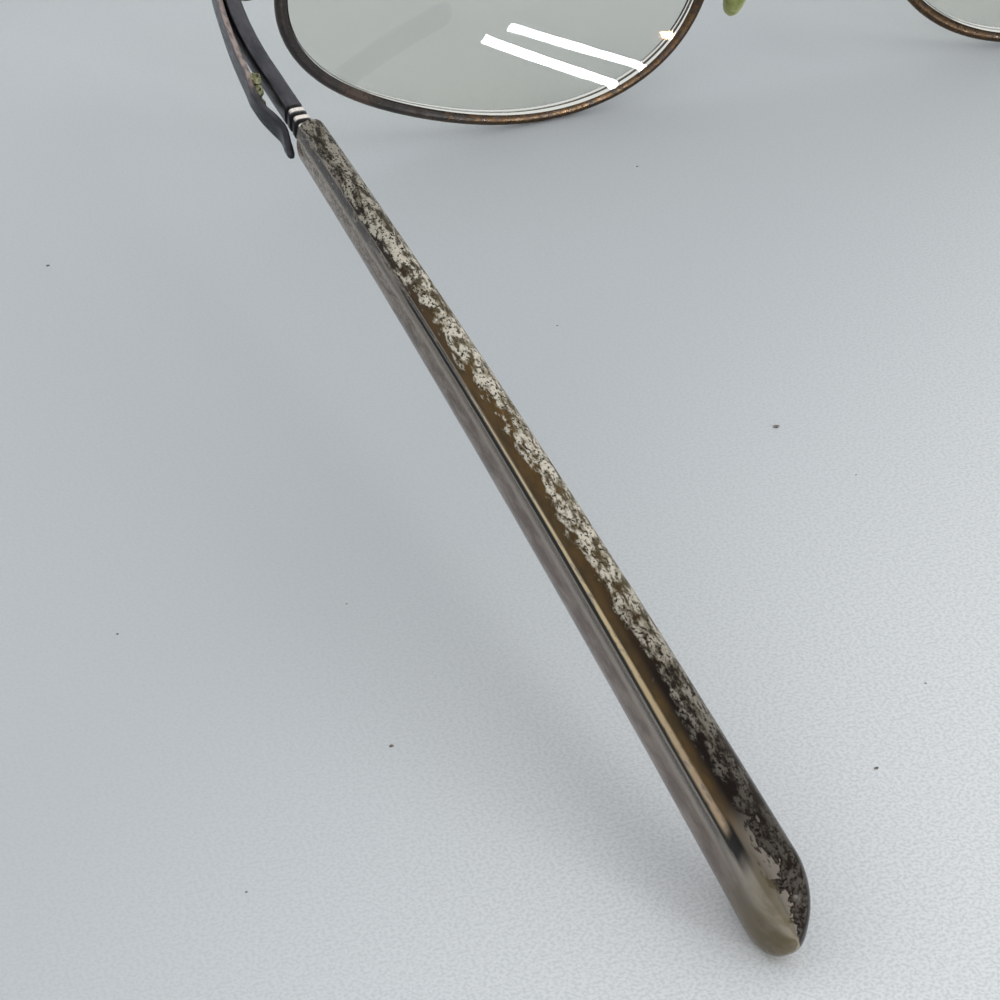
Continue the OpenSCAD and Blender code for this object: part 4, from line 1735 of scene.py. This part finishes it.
    def beads(self) -> bpy.types.Object:
        """Builds the three crumbly lumps of old solder that stayed on the loose plate.

        Returns:
            The piece.
        """
        bm = bmesh.new()
        for d, up in self.bead_places:
            share = (d - self.plate_from) / (self.plate_end - self.plate_from)
            inner = self.plate_place(share)[1] - self.plate_thick / 2
            heart = self.line.point(d) + Vector((inner - 0.42 * self.bead, 0, up))
            for vert in bmesh.ops.create_icosphere(bm, subdivisions=5, radius=1.0)["verts"]:
                way = vert.co.copy()
                lump = 1 + 0.22 * ripple(heart + way * self.bead, 0.42)
                lump += 0.1 * ripple(heart + way * self.bead, 0.17)
                size = Vector((0.92, 1.0, 1.06)) * self.bead * lump
                vert.co = (heart + way * size) * MM
        mesh = bpy.data.meshes.new("solder_lumps")
        bm.to_mesh(mesh)
        bm.free()
        return settle(finished("solder_lumps", mesh, 80.0), Body.TEMPLE_LEFT, ["solder_left"],
                      self.solder)


# ---- the studio ----


@dataclass(frozen=True)
class Lamp:
    """A flat lamp. Its place and size are in metres."""

    name: str
    place: tuple[float, float, float]
    aim: tuple[float, float, float]
    wide: float
    high: float
    watts: float
    colour: str = "#ffffff"
    long_axis: tuple[float, float, float] = (1.0, 0.0, 0.0)
    spread: float = 180.0

    def hang(self) -> None:
        """Puts the lamp in the scene, facing its aim, with its width along long_axis."""
        data = bpy.data.lights.new(self.name, "AREA")
        data.shape, data.size, data.size_y = "RECTANGLE", self.wide, self.high
        data.energy, data.color = self.watts, linear(self.colour)[:3]
        data.spread = math.radians(self.spread)
        lamp = bpy.data.objects.new(self.name, data)
        back = (Vector(self.place) - Vector(self.aim)).normalized()
        across = (Vector(self.long_axis) - back * back.dot(Vector(self.long_axis))).normalized()
        turn = Matrix((across, back.cross(across), back)).transposed()
        lamp.matrix_world = Matrix.Translation(self.place) @ turn.to_4x4()
        bpy.context.scene.collection.objects.link(lamp)


TEMPLE_MIDDLE = (0.05, 0.0, 0.0)
LENS_MIDDLE = (0.03, -0.068, 0.007)
# a broad key lamp and a weak strip light the pair; two tubes and a bulb show in the lens alone
LAMPS = (
    Lamp("key_softbox", (-0.55, 0.9, 1.15), TEMPLE_MIDDLE, 0.42, 0.42, 1.6, "#fffdf8"),
    Lamp("rim_strip", (0.83, -0.86, 0.48), TEMPLE_MIDDLE, 0.6, 0.12, 0.15,
         long_axis=(0.1, 0.2, 1.0)),
    Lamp("tube_low", (-0.483, 0.978, 0.208), LENS_MIDDLE, 0.395, 0.025, 0.16,
         long_axis=(-0.272, -0.088, -0.272), spread=40.0),
    Lamp("tube_high", (-0.418, 1.013, 0.183), LENS_MIDDLE, 0.390, 0.024, 0.1,
         long_axis=(-0.288, -0.085, -0.248), spread=40.0),
    Lamp("warm_bulb", (-0.214, 1.092, 0.208), LENS_MIDDLE, 0.022, 0.022, 0.012, "#ffb27a",
         spread=40.0),
)


@dataclass(frozen=True)
class Studio:
    """Table, lamps, sky and camera.

    The table, like the lamps, is measured in metres, and the rest in millimetres and degrees. Each
    crumb of dust is its two places on the table and its radius.
    """

    laminate: bpy.types.Material
    dust: bpy.types.Material
    lamps: tuple[Lamp, ...] = LAMPS
    table_size: float = 8.0
    sky: str = "#f4f6f8"
    sky_strength: float = 0.88
    backdrop_strength: float = 0.95
    camera_from_hinge: tuple[float, float, float] = (64.7309, 266.7855, 113.1329)
    camera_heading: float = 19.081
    camera_pitch: float = 33.147
    camera_roll: float = -0.544
    camera_lens: float = 100.87
    crumbs: tuple[tuple[float, float, float], ...] = (
        (34.3, 3.6, 0.2), (82.8, 37.3, 0.13), (47.8, 53.0, 0.12), (92.1, -51.5, 0.14),
        (26.3, -51.7, 0.1), (99.9, 14.9, 0.08), (46.9, -21.5, 0.07), (39.2, 44.3, 0.07),
        (98.2, 50.3, 0.08), (80.5, 17.3, 0.06), (30.9, 13.7, 0.06))

    def build(self) -> None:
        """Sets everything that isn't part of the object."""
        bpy.context.scene.view_settings.view_transform = "Standard"
        self.table()
        self.scatter()
        self.light_sky()
        self.shoot()
        for lamp in self.lamps:
            lamp.hang()

    def scatter(self) -> None:
        """Lays crumbs of dust on the table, each with its place and radius."""
        bm = bmesh.new()
        for x, y, radius in self.crumbs:
            heart = Vector((x, y, 0.4 * radius))
            for vert in bmesh.ops.create_icosphere(bm, subdivisions=3, radius=1.0)["verts"]:
                way = vert.co.copy()
                lump = radius * (1 + 0.5 * ripple(heart + way * radius, radius))
                vert.co = (heart + Vector((way.x * 1.4, way.y, way.z * 0.6)) * lump) * MM
        mesh = bpy.data.meshes.new("crumbs")
        bm.to_mesh(mesh)
        bm.free()
        mesh.materials.append(self.dust)
        finished("crumbs", mesh, 80.0)

    def table(self) -> None:
        """Builds the flat table top."""
        half = self.table_size / 2
        mesh = bpy.data.meshes.new("table_top")
        mesh.from_pydata([(-half, -half, 0), (half, -half, 0), (half, half, 0), (-half, half, 0)], [],
                         [(0, 1, 2, 3)])
        mesh.materials.append(self.laminate)
        table = bpy.data.objects.new("table_top", mesh)
        bpy.context.scene.collection.objects.link(table)

    def light_sky(self) -> None:
        """Sets an even pale sky, brighter where the camera sees it."""
        world = bpy.data.worlds.new("pale_sky")
        bpy.context.scene.world = world
        r = Recipe(world, "Background")
        r.dress(Color=self.sky, Strength=r.add(Node.RAMP, r.add(Node.CAMERA_RAY), 0.0, 1.0,
                                               self.sky_strength, self.backdrop_strength))

    def shoot(self) -> None:
        """Sets the camera: behind and outside the left temple, looking down along it."""
        heading, pitch, roll = (math.radians(a) for a in (self.camera_heading, self.camera_pitch,
                                                          self.camera_roll))
        forward = Vector((-math.sin(heading) * math.cos(pitch), -math.cos(heading) * math.cos(pitch),
                          -math.sin(pitch)))
        right = Vector((-math.cos(heading), math.sin(heading), 0))
        up = right.cross(forward)
        right, up = (math.cos(roll) * right + math.sin(roll) * up,
                     math.cos(roll) * up - math.sin(roll) * right)
        data = bpy.data.cameras.new("camera")
        data.lens, data.sensor_width, data.clip_start = self.camera_lens, 36.0, 0.005
        camera = bpy.data.objects.new("camera", data)
        turn = Matrix((right, up, -forward)).transposed()
        place = TempleLine().pin() + Vector(self.camera_from_hinge)
        camera.matrix_world = Matrix.Translation(place * MM) @ turn.to_4x4()
        bpy.context.scene.collection.objects.link(camera)
        bpy.context.scene.camera = camera


def main() -> None:
    """Builds the studio and every sub-assembly, and reports each piece."""
    logging.basicConfig(level=logging.INFO, format="%(name)s: %(message)s")
    enamel, gunmetal = StovedEnamel().make(), GunmetalPlating().make()
    nickel, steel = NickelSilver().make(), ScrewSteel().make()
    acetate, solder = CelluloseAcetate().make(), CorrodedSolder().make()
    Studio(TableLaminate().make(), TableDust().make()).build()
    Front(enamel, LensResin().make()).build()
    NosePads(enamel, nickel, steel, AgedVinyl().make()).build()
    Joinery(enamel, nickel, steel).build()
    for side in Side:
        Temple(side, gunmetal, acetate, solder).build()


if __name__ == "__main__":
    main()
